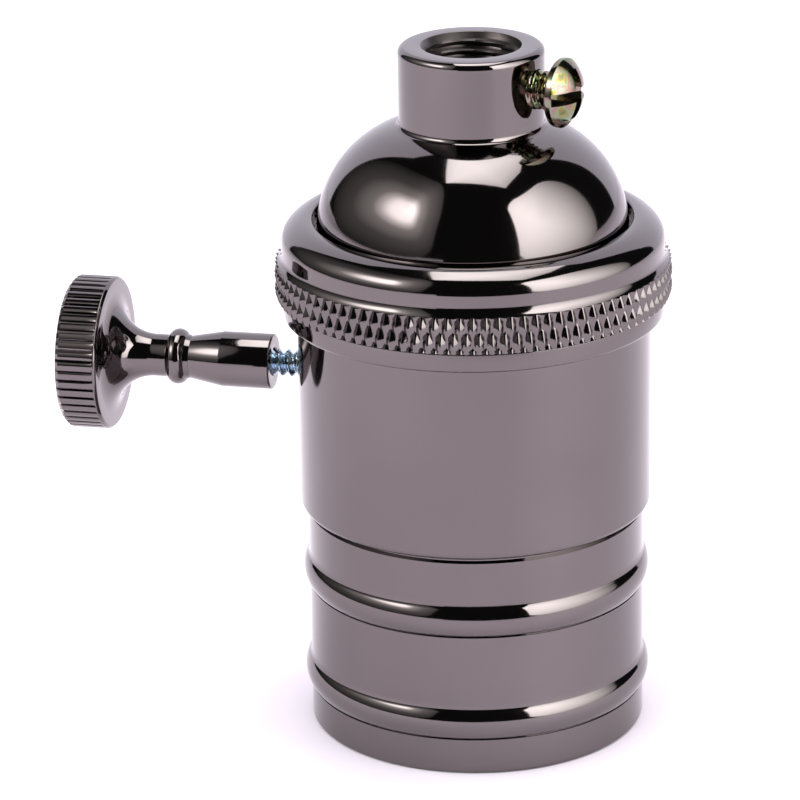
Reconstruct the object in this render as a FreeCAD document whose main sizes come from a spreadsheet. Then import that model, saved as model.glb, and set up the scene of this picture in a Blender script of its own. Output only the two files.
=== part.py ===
import FreeCAD, Part
import math
import os
import Sketcher

# Lamp holder with a side turn knob, standing on the rim of its shell. Millimetres.
# Origin on the axis at the rim, +Z up to the tapped neck, the knob's shaft along -X.
SIZES = {
    # outer shell, spun sheet
    "shellRadius": 18.0,
    "skirtInset": 0.75,
    "shellSheet": 0.8,
    "shellAboveShaft": 13.8,
    "stepRound": 0.35,
    "beadHeight": 4.95,
    "beadBelowStep": 7.55,
    "beadWidth": 3.5,
    "beadRise": 0.58,
    "threadInset": 0.25,
    "threadLength": 6.4,
    "notchWidth": 4.4,
    # locking ring
    "threadPlay": 0.08,
    "seatPlay": 0.05,
    "ringHeight": 9.62,
    "ringSkirtInset": 0.85,
    "ringSkirtHeight": 1.95,
    "ringReliefPlay": 0.12,
    "ringReliefLength": 1.4,
    "ringGrooveHeight": 0.2,
    "ringGrooveDepth": 0.15,
    "knurlWall": 2.37,
    "knurlDepth": 0.35,
    "knurlInset": 0.15,
    "knurlHeight": 3.7,
    "knurlCount": 98,
    "diamondHeight": 3.2,
    "diamondOffset": 0.8,
    "coveHeight": 1.0,
    "coveDepth": 0.29,
    "crownHeight": 1.05,
    "shoulderRadius": 2.35,
    "lipThickness": 1.12,
    "mouthPlay": 0.4,
    "mouthRound": 0.3,
    # dome cap
    "flangePlay": 0.13,
    "flangeThickness": 1.4,
    "capWall": 1.0,
    "domeRise": 0.35,
    "domeInset": 2.03,
    "domeRadius": 11.4,
    "neckRadius": 7.37,
    "neckHeight": 7.64,
    "neckBlend": 0.6,
    "neckRound": 0.7,
    "boreRadius": 4.5,
    "boreChamfer": 0.6,
    # clamp screw in the neck
    "screwDrop": 3.7,
    "screwAngle": 16.5,
    "screwRadius": 1.95,
    "screwPlay": 0.07,
    "screwLength": 5.2,
    "screwTipPlay": 0.1,
    "screwPoint": 0.4,
    "screwHeadRadius": 3.5,
    "screwHeadHeight": 2.2,
    "screwHeadEdge": 0.85,
    "slotWidth": 1.1,
    "slotDepth": 1.2,
    "crossLength": 5.0,
    # knob and shaft
    "shaftHeight": 37.0,
    "shaftRadius": 1.42,
    "shaftPlay": 0.02,
    "shaftPoint": 0.3,
    "knobStand": 3.04,
    "knobBore": 9.0,
    "knobBarrelRadius": 2.87,
    "knobBarrelLength": 5.3,
    "knobConeLength": 3.66,
    "knobWaistRadius": 2.2,
    "knobWaistLength": 3.6,
    "knobBeadRadius": 2.9,
    "knobBeadWidth": 2.0,
    "knobBeadStart": 9.12,
    "knobFlareRadius": 4.35,
    "knobHeadRadius": 7.93,
    "knobHeadLength": 4.4,
    "knobBackEdge": 0.5,
    "knobFrontEdge": 0.38,
    "fluteCount": 52,
    "fluteDepth": 0.3,
    "fluteWidth": 0.53,
    "fluteFloorWidth": 0.34,
    "fluteRest": 0.3,
    # porcelain base
    "baseBottom": 3.4,
    "cupPlay": 0.35,
    "cupWall": 2.15,
    "cupRound": 0.5,
    "floorThickness": 5.0,
    "porcelainPlay": 0.15,
    # porcelain switch housing
    "housingPlay": 0.3,
    "deckAboveShaft": 8.5,
    "collarRise": 5.2,
    "collarThickness": 2.3,
    "chamberHalfWidth": 4.9,
    "chamberBelowShaft": 7.4,
    "chamberAboveShaft": 6.3,
    "chamberWall": 3.4,
    "chamberBackInset": 2.2,
    "pivotDepth": 2.0,
    "slotPlay": 0.1,
    "recessDepth": 1.3,
    "recessPlay": 0.2,
    # lamp sleeve and its rivets
    "sleeveSheet": 0.4,
    "sleevePlay": 0.25,
    "sleeveThreadDepth": 1.05,
    "sleeveInset": 0.8,
    "sleeveThreadStart": 2.1,
    "sleeveThreadEnd": 4.1,
    "sleevePitch": 3.63,
    "ridgeHalfFoot": 1.3,
    "ridgeHalfCrest": 0.5,
    "sleeveFlangeWidth": 4.3,
    "rivetInset": 2.1,
    "rivetRadius": 1.0,
    "rivetHeadRadius": 1.5,
    "rivetHeadHeight": 0.7,
    "rivetPlay": 0.05,
    # centre contact
    "stripThickness": 0.5,
    "tongueWidth": 4.4,
    "tongueEnd": 7.9,
    "tongueFlat": 4.6,
    "tongueKnee": 1.8,
    "tongueTip": 2.5,
    "tongueDrop": 1.7,
    "buttonRadius": 2.3,
    "buttonHeight": 0.8,
    "buttonEdge": 0.3,
    "contactRivetPlace": 6.3,
    "contactRivetHeadRadius": 1.3,
    # switch blades and neutral strap
    "bladeWidth": 4.0,
    "bladePlay": 0.08,
    "loadBladeAbove": 3.0,
    "lineBladeBelow": 4.7,
    "footReach": 1.4,
    "flangeReach": 3.4,
    "strapInset": 3.5,
    "strapFootReach": 1.6,
    # rotor, detent spring, bush and bridge
    "rotorShare": 0.465,
    "rotorHubLength": 3.0,
    "rotorHubRadius": 2.4,
    "rotorBackPlay": 0.1,
    "pivotRadius": 1.5,
    "pivotPlay": 0.06,
    "pivotReach": 1.8,
    "camStart": 4.5,
    "camLength": 4.0,
    "camSize": 6.6,
    "camCorner": 0.8,
    "rotorCollarRadius": 3.0,
    "rotorFrontPlay": 0.3,
    "rotorBoreEnd": 1.9,
    "bridgeRadius": 1.2,
    "detentThickness": 0.4,
    "detentPlay": 0.05,
    "detentInset": 0.2,
    "detentHalfFlat": 2.6,
    "detentHalfSpan": 4.6,
    "detentFoot": 0.7,
    "bushFlangeRadius": 4.2,
    "bushFlangeLength": 1.2,
    "bushRadius": 3.0,
    "bushLength": 3.1,
    "bushPlay": 0.05,
    # terminals and housing screws
    "lineTerminalInset": 6.0,
    "neutralTerminalInset": 3.2,
    "terminalRadius": 1.7,
    "terminalLength": 6.0,
    "terminalHeadRadius": 3.0,
    "terminalHeadHeight": 2.0,
    "clampSize": 6.4,
    "clampThickness": 1.0,
    "terminalSlotWidth": 0.8,
    "terminalSlotDepth": 0.9,
    "housingScrewInset": 2.5,
    "housingScrewRadius": 1.45,
    "housingScrewLength": 13.8,
    "housingScrewHeadRadius": 2.2,
    "housingScrewHeadHeight": 2.0,
    "screwEdge": 0.3,
    # how far a cutting shape reaches past what it cuts
    "cutMargin": 1.0,
}

V = FreeCAD.Vector
doc = FreeCAD.newDocument("LampHolder")
sheet = doc.addObject("Spreadsheet::Sheet", "Sizes")
for line, (alias, size) in enumerate(SIZES.items(), start=1):
    sheet.set(f"A{line}", alias)
    sheet.set(f"B{line}", str(size))
    sheet.setAlias(f"B{line}", alias)
doc.recompute()


class Dim:
    """A length held both as a formula of the sheet's names and as its present value."""

    def __init__(self, formula, value):
        self.formula = formula
        self.value = float(value)

    def __add__(self, other):
        other = dim(other)
        return Dim(f"({self.formula} + {other.formula})", self.value + other.value)

    def __radd__(self, other):
        return dim(other) + self

    def __sub__(self, other):
        other = dim(other)
        return Dim(f"({self.formula} - {other.formula})", self.value - other.value)

    def __rsub__(self, other):
        return dim(other) - self

    def __mul__(self, other):
        other = dim(other)
        return Dim(f"({self.formula} * {other.formula})", self.value * other.value)

    def __rmul__(self, other):
        return dim(other) * self

    def __truediv__(self, other):
        other = dim(other)
        return Dim(f"({self.formula} / {other.formula})", self.value / other.value)

    def __neg__(self):
        return Dim(f"(0 - {self.formula})", -self.value)


def dim(value):
    """Any number or Dim as a Dim."""
    if isinstance(value, Dim):
        return value
    return Dim(str(value), value)


def squareRoot(value):
    """Square root of a Dim."""
    return Dim(f"sqrt({value.formula})", math.sqrt(value.value))


class Named:
    """Gives each size of the sheet as a Dim, by its alias."""

    def __getattr__(self, alias):
        return Dim(f"Sizes.{alias}", getattr(sheet, alias))


s = Named()


def bind(thing, path, size):
    """Ties one property of an object to the sheet."""
    thing.setExpression(path, dim(size).formula)


def newBody(label):
    """Empty body under its own label."""
    made = doc.addObject("PartDesign::Body", label)
    made.Label = label
    return made


def sketchOn(body, role, name, offset=0):
    """Sketch on one of the body's own origin planes, moved along its normal."""
    plane = next(item for item in body.Origin.OriginFeatures if item.Role == role)
    sketch = body.newObject("Sketcher::SketchObject", body.Label + name)
    sketch.AttachmentSupport = [(plane, "")]
    sketch.MapMode = "FlatFace"
    bind(sketch, "AttachmentOffset.Base.z", offset)
    sketch.AttachmentOffset.Base.z = dim(offset).value
    return sketch


def place(sketch, item, vertex, x, y):
    """Fixes one vertex of a sketch at x and y from its origin."""
    for kind, axis, size in (("DistanceX", -2, x), ("DistanceY", -1, y)):
        if size.formula == "0":
            sketch.addConstraint(Sketcher.Constraint("PointOnObject", item, vertex, axis))
        else:
            index = sketch.addConstraint(Sketcher.Constraint(kind, -1, 1, item, vertex, size.value))
            bind(sketch, f"Constraints[{index}]", size)


def arcBetween(start, end, radius):
    """Arc from start to end, anticlockwise where the radius is positive."""
    chord = end - start
    middle = (start + end) * 0.5
    rise = math.sqrt(max(radius * radius - chord.Length * chord.Length / 4, 0.0))
    side = V(-chord.y, chord.x, 0).normalize() * math.copysign(rise, radius)
    centre = middle + side
    first, last = (start, end) if radius > 0 else (end, start)
    angles = [math.atan2(point.y - centre.y, point.x - centre.x) for point in (first, last)]
    return Part.ArcOfCircle(Part.Circle(centre, V(0, 0, 1), abs(radius)), angles[0], angles[1])


def outline(sketch, points):
    """Closed outline. A third value is the radius of the arc that arrives at the point."""
    corners = [[dim(value) for value in point] for point in points]
    items = []
    for index, corner in enumerate(corners):
        following = corners[(index + 1) % len(corners)]
        start = V(corner[0].value, corner[1].value, 0)
        end = V(following[0].value, following[1].value, 0)
        if len(following) == 2:
            item = sketch.addGeometry(Part.LineSegment(start, end), False)
            items.append((item, 1, 2))
        else:
            radius = following[2].value
            item = sketch.addGeometry(arcBetween(start, end, radius), False)
            items.append((item, 1, 2) if radius > 0 else (item, 2, 1))
    for index, corner in enumerate(corners):
        item, first, last = items[index]
        nextItem, nextFirst, nextLast = items[(index + 1) % len(corners)]
        sketch.addConstraint(Sketcher.Constraint("Coincident", item, last, nextItem, nextFirst))
        place(sketch, item, first, corner[0], corner[1])
        following = corners[(index + 1) % len(corners)]
        if len(following) == 3:
            radius = following[2] if following[2].value > 0 else -following[2]
            index = sketch.addConstraint(Sketcher.Constraint("Radius", item, radius.value))
            bind(sketch, f"Constraints[{index}]", radius)
    return sketch


def rectangle(sketch, left, right, bottom, top):
    """Rectangle between four lines."""
    return outline(sketch, [(left, bottom), (right, bottom), (right, top), (left, top)])


def circle(sketch, x, y, radius):
    """Circle at x, y."""
    x, y, radius = dim(x), dim(y), dim(radius)
    item = sketch.addGeometry(Part.Circle(V(x.value, y.value, 0), V(0, 0, 1), radius.value), False)
    place(sketch, item, 3, x, y)
    index = sketch.addConstraint(Sketcher.Constraint("Radius", item, radius.value))
    bind(sketch, f"Constraints[{index}]", radius)
    return sketch


def turn(body, points, name="Turning"):
    """Revolution of a half section, x as the radius and y along the body's own Z."""
    sketch = outline(sketchOn(body, "XZ_Plane", name + "Section"), points)
    feature = body.newObject("PartDesign::Revolution", body.Label + name)
    feature.Profile = sketch
    feature.ReferenceAxis = (sketch, ["V_Axis"])
    feature.Angle = 360
    body.Tip = feature
    return feature


def pad(body, sketch, length, symmetric=False, away=False):
    """Pad of a sketch, along its normal, or away from it."""
    feature = body.newObject("PartDesign::Pad", sketch.Label + "Pad")
    feature.Profile = sketch
    bind(feature, "Length", length)
    feature.SideType = "Symmetric" if symmetric else "One side"
    feature.Reversed = away
    body.Tip = feature
    return feature


def cut(body, sketch, length, along=False):
    """Pocket of a sketch against its normal, or along it."""
    feature = body.newObject("PartDesign::Pocket", sketch.Label + "Cut")
    feature.Profile = sketch
    bind(feature, "Length", length)
    feature.Reversed = along
    body.Tip = feature
    return feature


def polar(body, original, sketch, count):
    """Polar pattern of one feature about its sketch's normal."""
    feature = body.newObject("PartDesign::PolarPattern", original.Label + "Round")
    feature.Originals = [original]
    feature.Axis = (sketch, ["N_Axis"])
    feature.Angle = 360
    bind(feature, "Occurrences", count)
    body.Tip = feature
    return feature


def group(label, members):
    """One node of several like pieces."""
    made = doc.addObject("Part::Compound", label)
    made.Label = label
    made.Links = members
    return made


def onShaftLine(body):
    """Lays a body's own Z along the shaft, outward, with its own X up."""
    body.Placement = FreeCAD.Placement(V(0, 0, s.shaftHeight.value), FreeCAD.Rotation(V(0, 1, 0), -90))
    bind(body, "Placement.Base.z", s.shaftHeight)
    return body


def at(body, x=0, y=0, z=0):
    """Puts a body at x, y and z."""
    base = V(dim(x).value, dim(y).value, dim(z).value)
    body.Placement = FreeCAD.Placement(base, body.Placement.Rotation)
    for axis, size in (("x", x), ("y", y), ("z", z)):
        bind(body, f"Placement.Base.{axis}", size)
    return body


# Heights and radii that several pieces share, all from the shaft's height and the shell's radius
floorTop = s.shaftHeight - s.chamberBelowShaft
chamberRoof = s.shaftHeight + s.chamberAboveShaft
deckHeight = s.shaftHeight + s.deckAboveShaft
shellTop = s.shaftHeight + s.shellAboveShaft
floorBottom = floorTop - s.floorThickness
stepHeight = floorBottom - s.sleeveSheet - s.stripThickness
shoulderHeight = stepHeight + s.shellSheet
skirtRadius = s.shellRadius - s.skirtInset
skirtInner = skirtRadius - s.shellSheet
shellInner = s.shellRadius - s.shellSheet
threadRadius = s.shellRadius - s.threadInset
ringBore = threadRadius + s.threadPlay
lipUnderside = shellTop + s.seatPlay * 2 + s.flangeThickness
ringTop = lipUnderside + s.lipThickness
ringBottom = ringTop - s.ringHeight
knurlRadius = ringBore + s.knurlWall
knurlFoot = knurlRadius - s.knurlDepth - s.knurlInset
ringSkirt = knurlRadius - s.ringSkirtInset
ringGroove = ringSkirt - s.ringGrooveDepth
domeOuter = ringBore - s.domeInset
domeCentre = domeOuter - s.domeRadius
mouthRadius = domeOuter + s.mouthPlay
capFlangeTop = shellTop + s.seatPlay + s.flangeThickness
domeSpringing = capFlangeTop + s.domeRise
neckBlendReach = s.neckRadius + s.neckBlend - domeCentre
neckBlendSpan = s.domeRadius + s.neckBlend
neckFoot = domeSpringing + squareRoot(neckBlendSpan * neckBlendSpan - neckBlendReach * neckBlendReach)
neckTop = neckFoot + s.neckHeight
screwHeight = neckTop - s.screwDrop
cupOuter = skirtInner - s.cupPlay
cupInner = cupOuter - s.cupWall
sleeveTop = floorBottom - s.sleeveSheet
sleeveOuter = cupInner - s.sleevePlay
sleeveRoot = sleeveOuter - s.sleeveSheet
sleeveCrest = sleeveRoot - s.sleeveThreadDepth
rivetPlace = sleeveRoot - s.rivetInset
housingScrewPlace = (sleeveRoot - s.housingScrewInset) / squareRoot(dim(2))
housingRadius = shellInner - s.housingPlay
strapPlace = housingRadius - s.strapInset
strapFootEnd = rivetPlace - s.strapFootReach
chamberKnobSide = housingRadius - s.chamberWall
neutralTerminalPlace = strapPlace - s.neutralTerminalInset
chamberBack = neutralTerminalPlace - s.chamberBackInset
lineTerminalPlace = housingRadius - s.collarThickness - s.lineTerminalInset
rotorRadius = lineTerminalPlace * s.rotorShare
rotorBarrelEnd = chamberBack - s.rotorHubLength
knobInner = s.shellRadius + s.knobStand
terminalPlaces = (("Line", 0, lineTerminalPlace), ("Neutral", neutralTerminalPlace, 0))


def bead(centreHeight):
    """Pressed bead of the skirt: outside arc upward and, inside, the same arc set back by the sheet."""
    half = s.beadWidth / 2
    radius = (half * half + s.beadRise * s.beadRise) / (s.beadRise * 2)
    inner = radius - s.shellSheet
    setBack = radius - s.beadRise - s.shellSheet
    innerHalf = squareRoot(inner * inner - setBack * setBack)
    outside = [
        (skirtRadius, centreHeight - half),
        (skirtRadius, centreHeight + half, radius),
    ]
    inside = [
        (skirtInner, centreHeight + innerHalf),
        (skirtInner, centreHeight - innerHalf, -inner),
    ]
    return outside, inside


def outerShell():
    """Spun shell: two beads, a step with a shoulder inside, a threaded top and the shaft's notch."""
    body = newBody("outer_shell")
    lowOutside, lowInside = bead(s.beadHeight)
    highOutside, highInside = bead(stepHeight - s.beadBelowStep)
    threadBottom = shellTop - s.threadLength
    outside = [(skirtRadius, 0)] + lowOutside + highOutside + [
        (skirtRadius, stepHeight),
        (s.shellRadius - s.stepRound, stepHeight),
        (s.shellRadius, stepHeight + s.stepRound, s.stepRound),
        (s.shellRadius, threadBottom),
        (threadRadius, threadBottom),
        (threadRadius, shellTop),
    ]
    inside = [
        (shellInner, shellTop),
        (shellInner, shoulderHeight),
        (skirtInner, shoulderHeight),
    ] + highInside + lowInside + [(skirtInner, 0)]
    turn(body, outside + inside)
    half = s.notchWidth / 2
    notch = outline(sketchOn(body, "YZ_Plane", "Notch"), [
        (-half, s.shaftHeight),
        (0, s.shaftHeight - half, half),
        (half, s.shaftHeight, half),
        (half, shellTop + s.cutMargin),
        (-half, shellTop + s.cutMargin),
    ])
    cut(body, notch, s.shellRadius + s.cutMargin)
    return body


def ringTurning():
    """The locking ring as turned, before its knurl."""
    body = newBody("RingTurned")
    skirtTop = ringBottom + s.ringSkirtHeight
    bandTop = skirtTop + s.ringGrooveHeight + s.knurlHeight
    crownBottom = bandTop + s.coveHeight
    crownRadius = knurlFoot - s.coveDepth
    crease = crownBottom + s.crownHeight
    coveRadius = (s.coveDepth * s.coveDepth + s.coveHeight * s.coveHeight) / (s.coveDepth * 2)
    shoulderDrop = crease - ringTop + s.shoulderRadius
    shoulderReach = squareRoot(s.shoulderRadius * s.shoulderRadius - shoulderDrop * shoulderDrop)
    reliefTop = ringBottom + s.ringReliefLength
    relief = s.shellRadius + s.ringReliefPlay
    turn(body, [
        (ringSkirt, ringBottom),
        (ringSkirt, skirtTop),
        (ringGroove, skirtTop),
        (ringGroove, bandTop - s.knurlDepth),
        (knurlFoot, bandTop - s.knurlDepth),
        (knurlFoot, bandTop),
        (crownRadius, crownBottom, -coveRadius),
        (crownRadius, crease),
        (crownRadius - shoulderReach, ringTop, s.shoulderRadius),
        (mouthRadius + s.mouthRound, ringTop),
        (mouthRadius, ringTop - s.mouthRound, s.mouthRound),
        (mouthRadius, lipUnderside),
        (ringBore, lipUnderside),
        (ringBore, reliefTop),
        (relief, reliefTop),
        (relief, ringBottom),
    ])
    return body


def clipped(polygon, level, keepAbove):
    """Part of a polygon above or below one height."""
    sign = 1 if keepAbove else -1
    kept = []
    for start, end in zip(polygon, polygon[1:] + polygon[:1]):
        before = sign * (start.z - level)
        after = sign * (end.z - level)
        if before >= 0:
            kept.append(start)
        if before * after < 0:
            kept.append(start + (end - start) * (before / (before - after)))
    return kept


def knurlSolid():
    """Faceted solid of the knurl: crossed grooves leave rows of pyramids, cut off at both edges."""
    count = int(sheet.knurlCount)
    peak = knurlRadius.value
    valley = peak - sheet.knurlDepth
    row = sheet.diamondHeight / 2
    bottom = (ringBottom + s.ringSkirtHeight + s.ringGrooveHeight).value
    top = bottom + sheet.knurlHeight
    first = bottom + sheet.diamondOffset - row
    rows = math.ceil((top - first) / row)

    def point(column, level):
        radius = peak if (column + level) % 2 == 0 else valley
        angle = math.pi * column / count
        return V(radius * math.cos(angle), radius * math.sin(angle), first + level * row)

    polygons = []
    for level in range(rows):
        for column in range(2 * count):
            low, lowNext = point(column, level), point(column + 1, level)
            high, highNext = point(column, level + 1), point(column + 1, level + 1)
            if (column + level) % 2 == 0:
                polygons += [[low, lowNext, high], [highNext, high, lowNext]]
            else:
                polygons += [[low, lowNext, highNext], [highNext, high, low]]
    faces = []
    rims = {bottom: set(), top: set()}
    for polygon in polygons:
        kept = clipped(clipped(polygon, bottom, True), top, False)
        if len(kept) < 3:
            continue
        faces.append(Part.Face(Part.makePolygon(kept + kept[:1])))
        for level, rim in rims.items():
            rim.update((round(p.x, 6), round(p.y, 6)) for p in kept if abs(p.z - level) < 1e-6)
    for level, rim in rims.items():
        corners = [V(x, y, level) for x, y in sorted(rim, key=lambda p: math.atan2(p[1], p[0]))]
        faces.append(Part.Face(Part.makePolygon(corners + corners[:1])))
    shell = Part.Compound(faces)
    shell.sewShape()
    return Part.Solid(shell.Shells[0] if shell.Shells else Part.Shell(faces))


def lockingRing():
    """Turned ring with its diamond knurl."""
    turned = ringTurning()
    puck = doc.addObject("Part::Feature", "KnurlPuck")
    puck.Shape = knurlSolid()
    core = doc.addObject("Part::Cylinder", "KnurlCore")
    bind(core, "Radius", ringGroove - s.knurlInset)
    bind(core, "Height", s.ringHeight)
    bind(core, "Placement.Base.z", ringBottom)
    band = doc.addObject("Part::Cut", "KnurlBand")
    band.Base = puck
    band.Tool = core
    ring = doc.addObject("Part::Fuse", "locking_ring")
    ring.Label = "locking_ring"
    ring.Base = turned
    ring.Tool = band
    return ring


def domeCap():
    """Turned cap: flange, hemispherical dome, neck with the tapped bore and the clamp screw's hole."""
    body = newBody("dome_cap")
    flangeBottom = shellTop + s.seatPlay
    flangeRadius = ringBore - s.flangePlay
    innerArc = s.domeRadius - s.capWall
    boreInset = s.boreRadius - domeCentre
    boreFoot = domeSpringing + squareRoot(innerArc * innerArc - boreInset * boreInset)
    blendShare = s.domeRadius / neckBlendSpan
    blendFoot = domeSpringing + (neckFoot - domeSpringing) * blendShare
    turn(body, [
        (flangeRadius, flangeBottom),
        (flangeRadius, capFlangeTop),
        (domeOuter, capFlangeTop),
        (domeOuter, domeSpringing),
        (domeCentre + neckBlendReach * blendShare, blendFoot, s.domeRadius),
        (s.neckRadius, neckFoot, -s.neckBlend),
        (s.neckRadius, neckTop - s.neckRound),
        (s.neckRadius - s.neckRound, neckTop, s.neckRound),
        (s.boreRadius + s.boreChamfer, neckTop),
        (s.boreRadius, neckTop - s.boreChamfer),
        (s.boreRadius, boreFoot),
        (domeOuter - s.capWall, domeSpringing, -innerArc),
        (domeOuter - s.capWall, flangeBottom),
    ])
    hole = circle(sketchOn(body, "YZ_Plane", "SideHole"), 0, screwHeight, s.screwRadius + s.screwPlay)
    cut(body, hole, s.neckRadius + s.cutMargin, along=True)
    body.Placement = FreeCAD.Placement(V(), FreeCAD.Rotation(V(0, 0, -1), sheet.screwAngle))
    bind(body, "Placement.Rotation.Angle", s.screwAngle)
    return body


def clampScrew():
    """Pan head screw with a cross slot, its own Z outward along the hole in the neck."""
    body = newBody("clamp_screw")
    tip = s.boreRadius + s.screwTipPlay
    underHead = tip + s.screwLength
    headTop = underHead + s.screwHeadHeight
    domeHeight = s.screwHeadHeight - s.screwHeadEdge
    crown = (s.screwHeadRadius * s.screwHeadRadius + domeHeight * domeHeight) / (domeHeight * 2)
    turn(body, [
        (0, tip),
        (s.screwRadius - s.screwPoint, tip),
        (s.screwRadius, tip + s.screwPoint),
        (s.screwRadius, underHead),
        (s.screwHeadRadius, underHead),
        (s.screwHeadRadius, underHead + s.screwHeadEdge),
        (0, headTop, crown),
    ])
    half = s.slotWidth / 2
    head = s.screwHeadRadius
    across = rectangle(sketchOn(body, "XY_Plane", "Slot", headTop), -half, half, -head, head)
    cut(body, across, s.slotDepth)
    reach = s.crossLength / 2
    upright = rectangle(sketchOn(body, "XY_Plane", "Cross", headTop), -reach, reach, -half, half)
    cut(body, upright, s.slotDepth)
    outward = FreeCAD.Rotation(V(0, 0, 1), -sheet.screwAngle).multiply(FreeCAD.Rotation(V(0, 1, 0), 90))
    body.Placement = FreeCAD.Placement(V(0, 0, screwHeight.value), outward)
    bind(body, "Placement.Base.z", screwHeight)
    return body


def knobPiece():
    """Turned knob: barrel, cone, bead, waist, flare and a fluted head."""
    body = onShaftLine(newBody("knob"))
    coneEnd = knobInner + s.knobBarrelLength + s.knobConeLength
    beadStart = knobInner + s.knobBeadStart
    beadEnd = beadStart + s.knobBeadWidth
    halfBead = s.knobBeadWidth / 2
    beadRise = s.knobBeadRadius - s.knobWaistRadius
    beadArc = (halfBead * halfBead + beadRise * beadRise) / (beadRise * 2)
    flareStart = coneEnd + s.knobWaistLength
    back = flareStart + s.knobFlareRadius
    front = back + s.knobHeadLength
    turn(body, [
        (s.shaftRadius + s.shaftPlay, knobInner),
        (s.knobBarrelRadius, knobInner),
        (s.knobBarrelRadius, knobInner + s.knobBarrelLength),
        (s.knobWaistRadius, coneEnd),
        (s.knobWaistRadius, beadStart),
        (s.knobBeadRadius, beadStart + halfBead, beadArc),
        (s.knobWaistRadius, beadEnd, beadArc),
        (s.knobWaistRadius, flareStart),
        (s.knobWaistRadius + s.knobFlareRadius, back, -s.knobFlareRadius),
        (s.knobHeadRadius - s.knobBackEdge, back),
        (s.knobHeadRadius, back + s.knobBackEdge),
        (s.knobHeadRadius, front - s.knobFrontEdge),
        (s.knobHeadRadius - s.knobFrontEdge, front),
        (0, front),
        (0, knobInner + s.knobBore),
        (s.shaftRadius + s.shaftPlay, knobInner + s.knobBore),
    ])
    floor = s.knobHeadRadius - s.fluteDepth
    mouth = s.knobHeadRadius + s.fluteDepth
    half = s.fluteWidth / 2
    halfFloor = s.fluteFloorWidth / 2
    flare = (half - halfFloor) * 2
    flute = outline(sketchOn(body, "XY_Plane", "Flute", front), [
        (floor, -halfFloor),
        (mouth, -(halfFloor + flare)),
        (mouth, halfFloor + flare),
        (floor, halfFloor),
    ])
    cutter = cut(body, flute, s.knobHeadLength - s.knobBackEdge - s.fluteRest)
    polar(body, cutter, flute, s.fluteCount)
    return body


def switchShaft():
    """Steel rod from the rotor to the knob."""
    body = onShaftLine(newBody("switch_shaft"))
    start = s.rotorBoreEnd + s.shaftPlay
    end = knobInner + s.knobBore - s.shaftPlay
    turn(body, [
        (0, start),
        (s.shaftRadius - s.shaftPoint, start),
        (s.shaftRadius, start + s.shaftPoint),
        (s.shaftRadius, end - s.shaftPoint),
        (s.shaftRadius - s.shaftPoint, end),
        (0, end),
    ])
    return body


def ceramicBase():
    """Porcelain cup round the lamp's sleeve, its flange on the shell's shoulder."""
    body = newBody("ceramic_base")
    turn(body, [
        (cupInner, s.baseBottom),
        (cupOuter - s.cupRound, s.baseBottom),
        (cupOuter, s.baseBottom + s.cupRound, s.cupRound),
        (cupOuter, shoulderHeight),
        (shellInner - s.porcelainPlay, shoulderHeight),
        (shellInner - s.porcelainPlay, floorTop),
        (0, floorTop),
        (0, floorBottom),
        (cupInner, floorBottom),
    ])
    holes = sketchOn(body, "XY_Plane", "Holes", floorTop)
    for x in (rivetPlace, -rivetPlace):
        circle(holes, x, 0, s.rivetRadius + s.rivetPlay)
    circle(holes, 0, -s.contactRivetPlace, s.rivetRadius + s.rivetPlay)
    for x in (housingScrewPlace, -housingScrewPlace):
        circle(holes, x, x, s.housingScrewRadius + s.rivetPlay)
    cut(body, holes, s.floorThickness)
    return body


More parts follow.
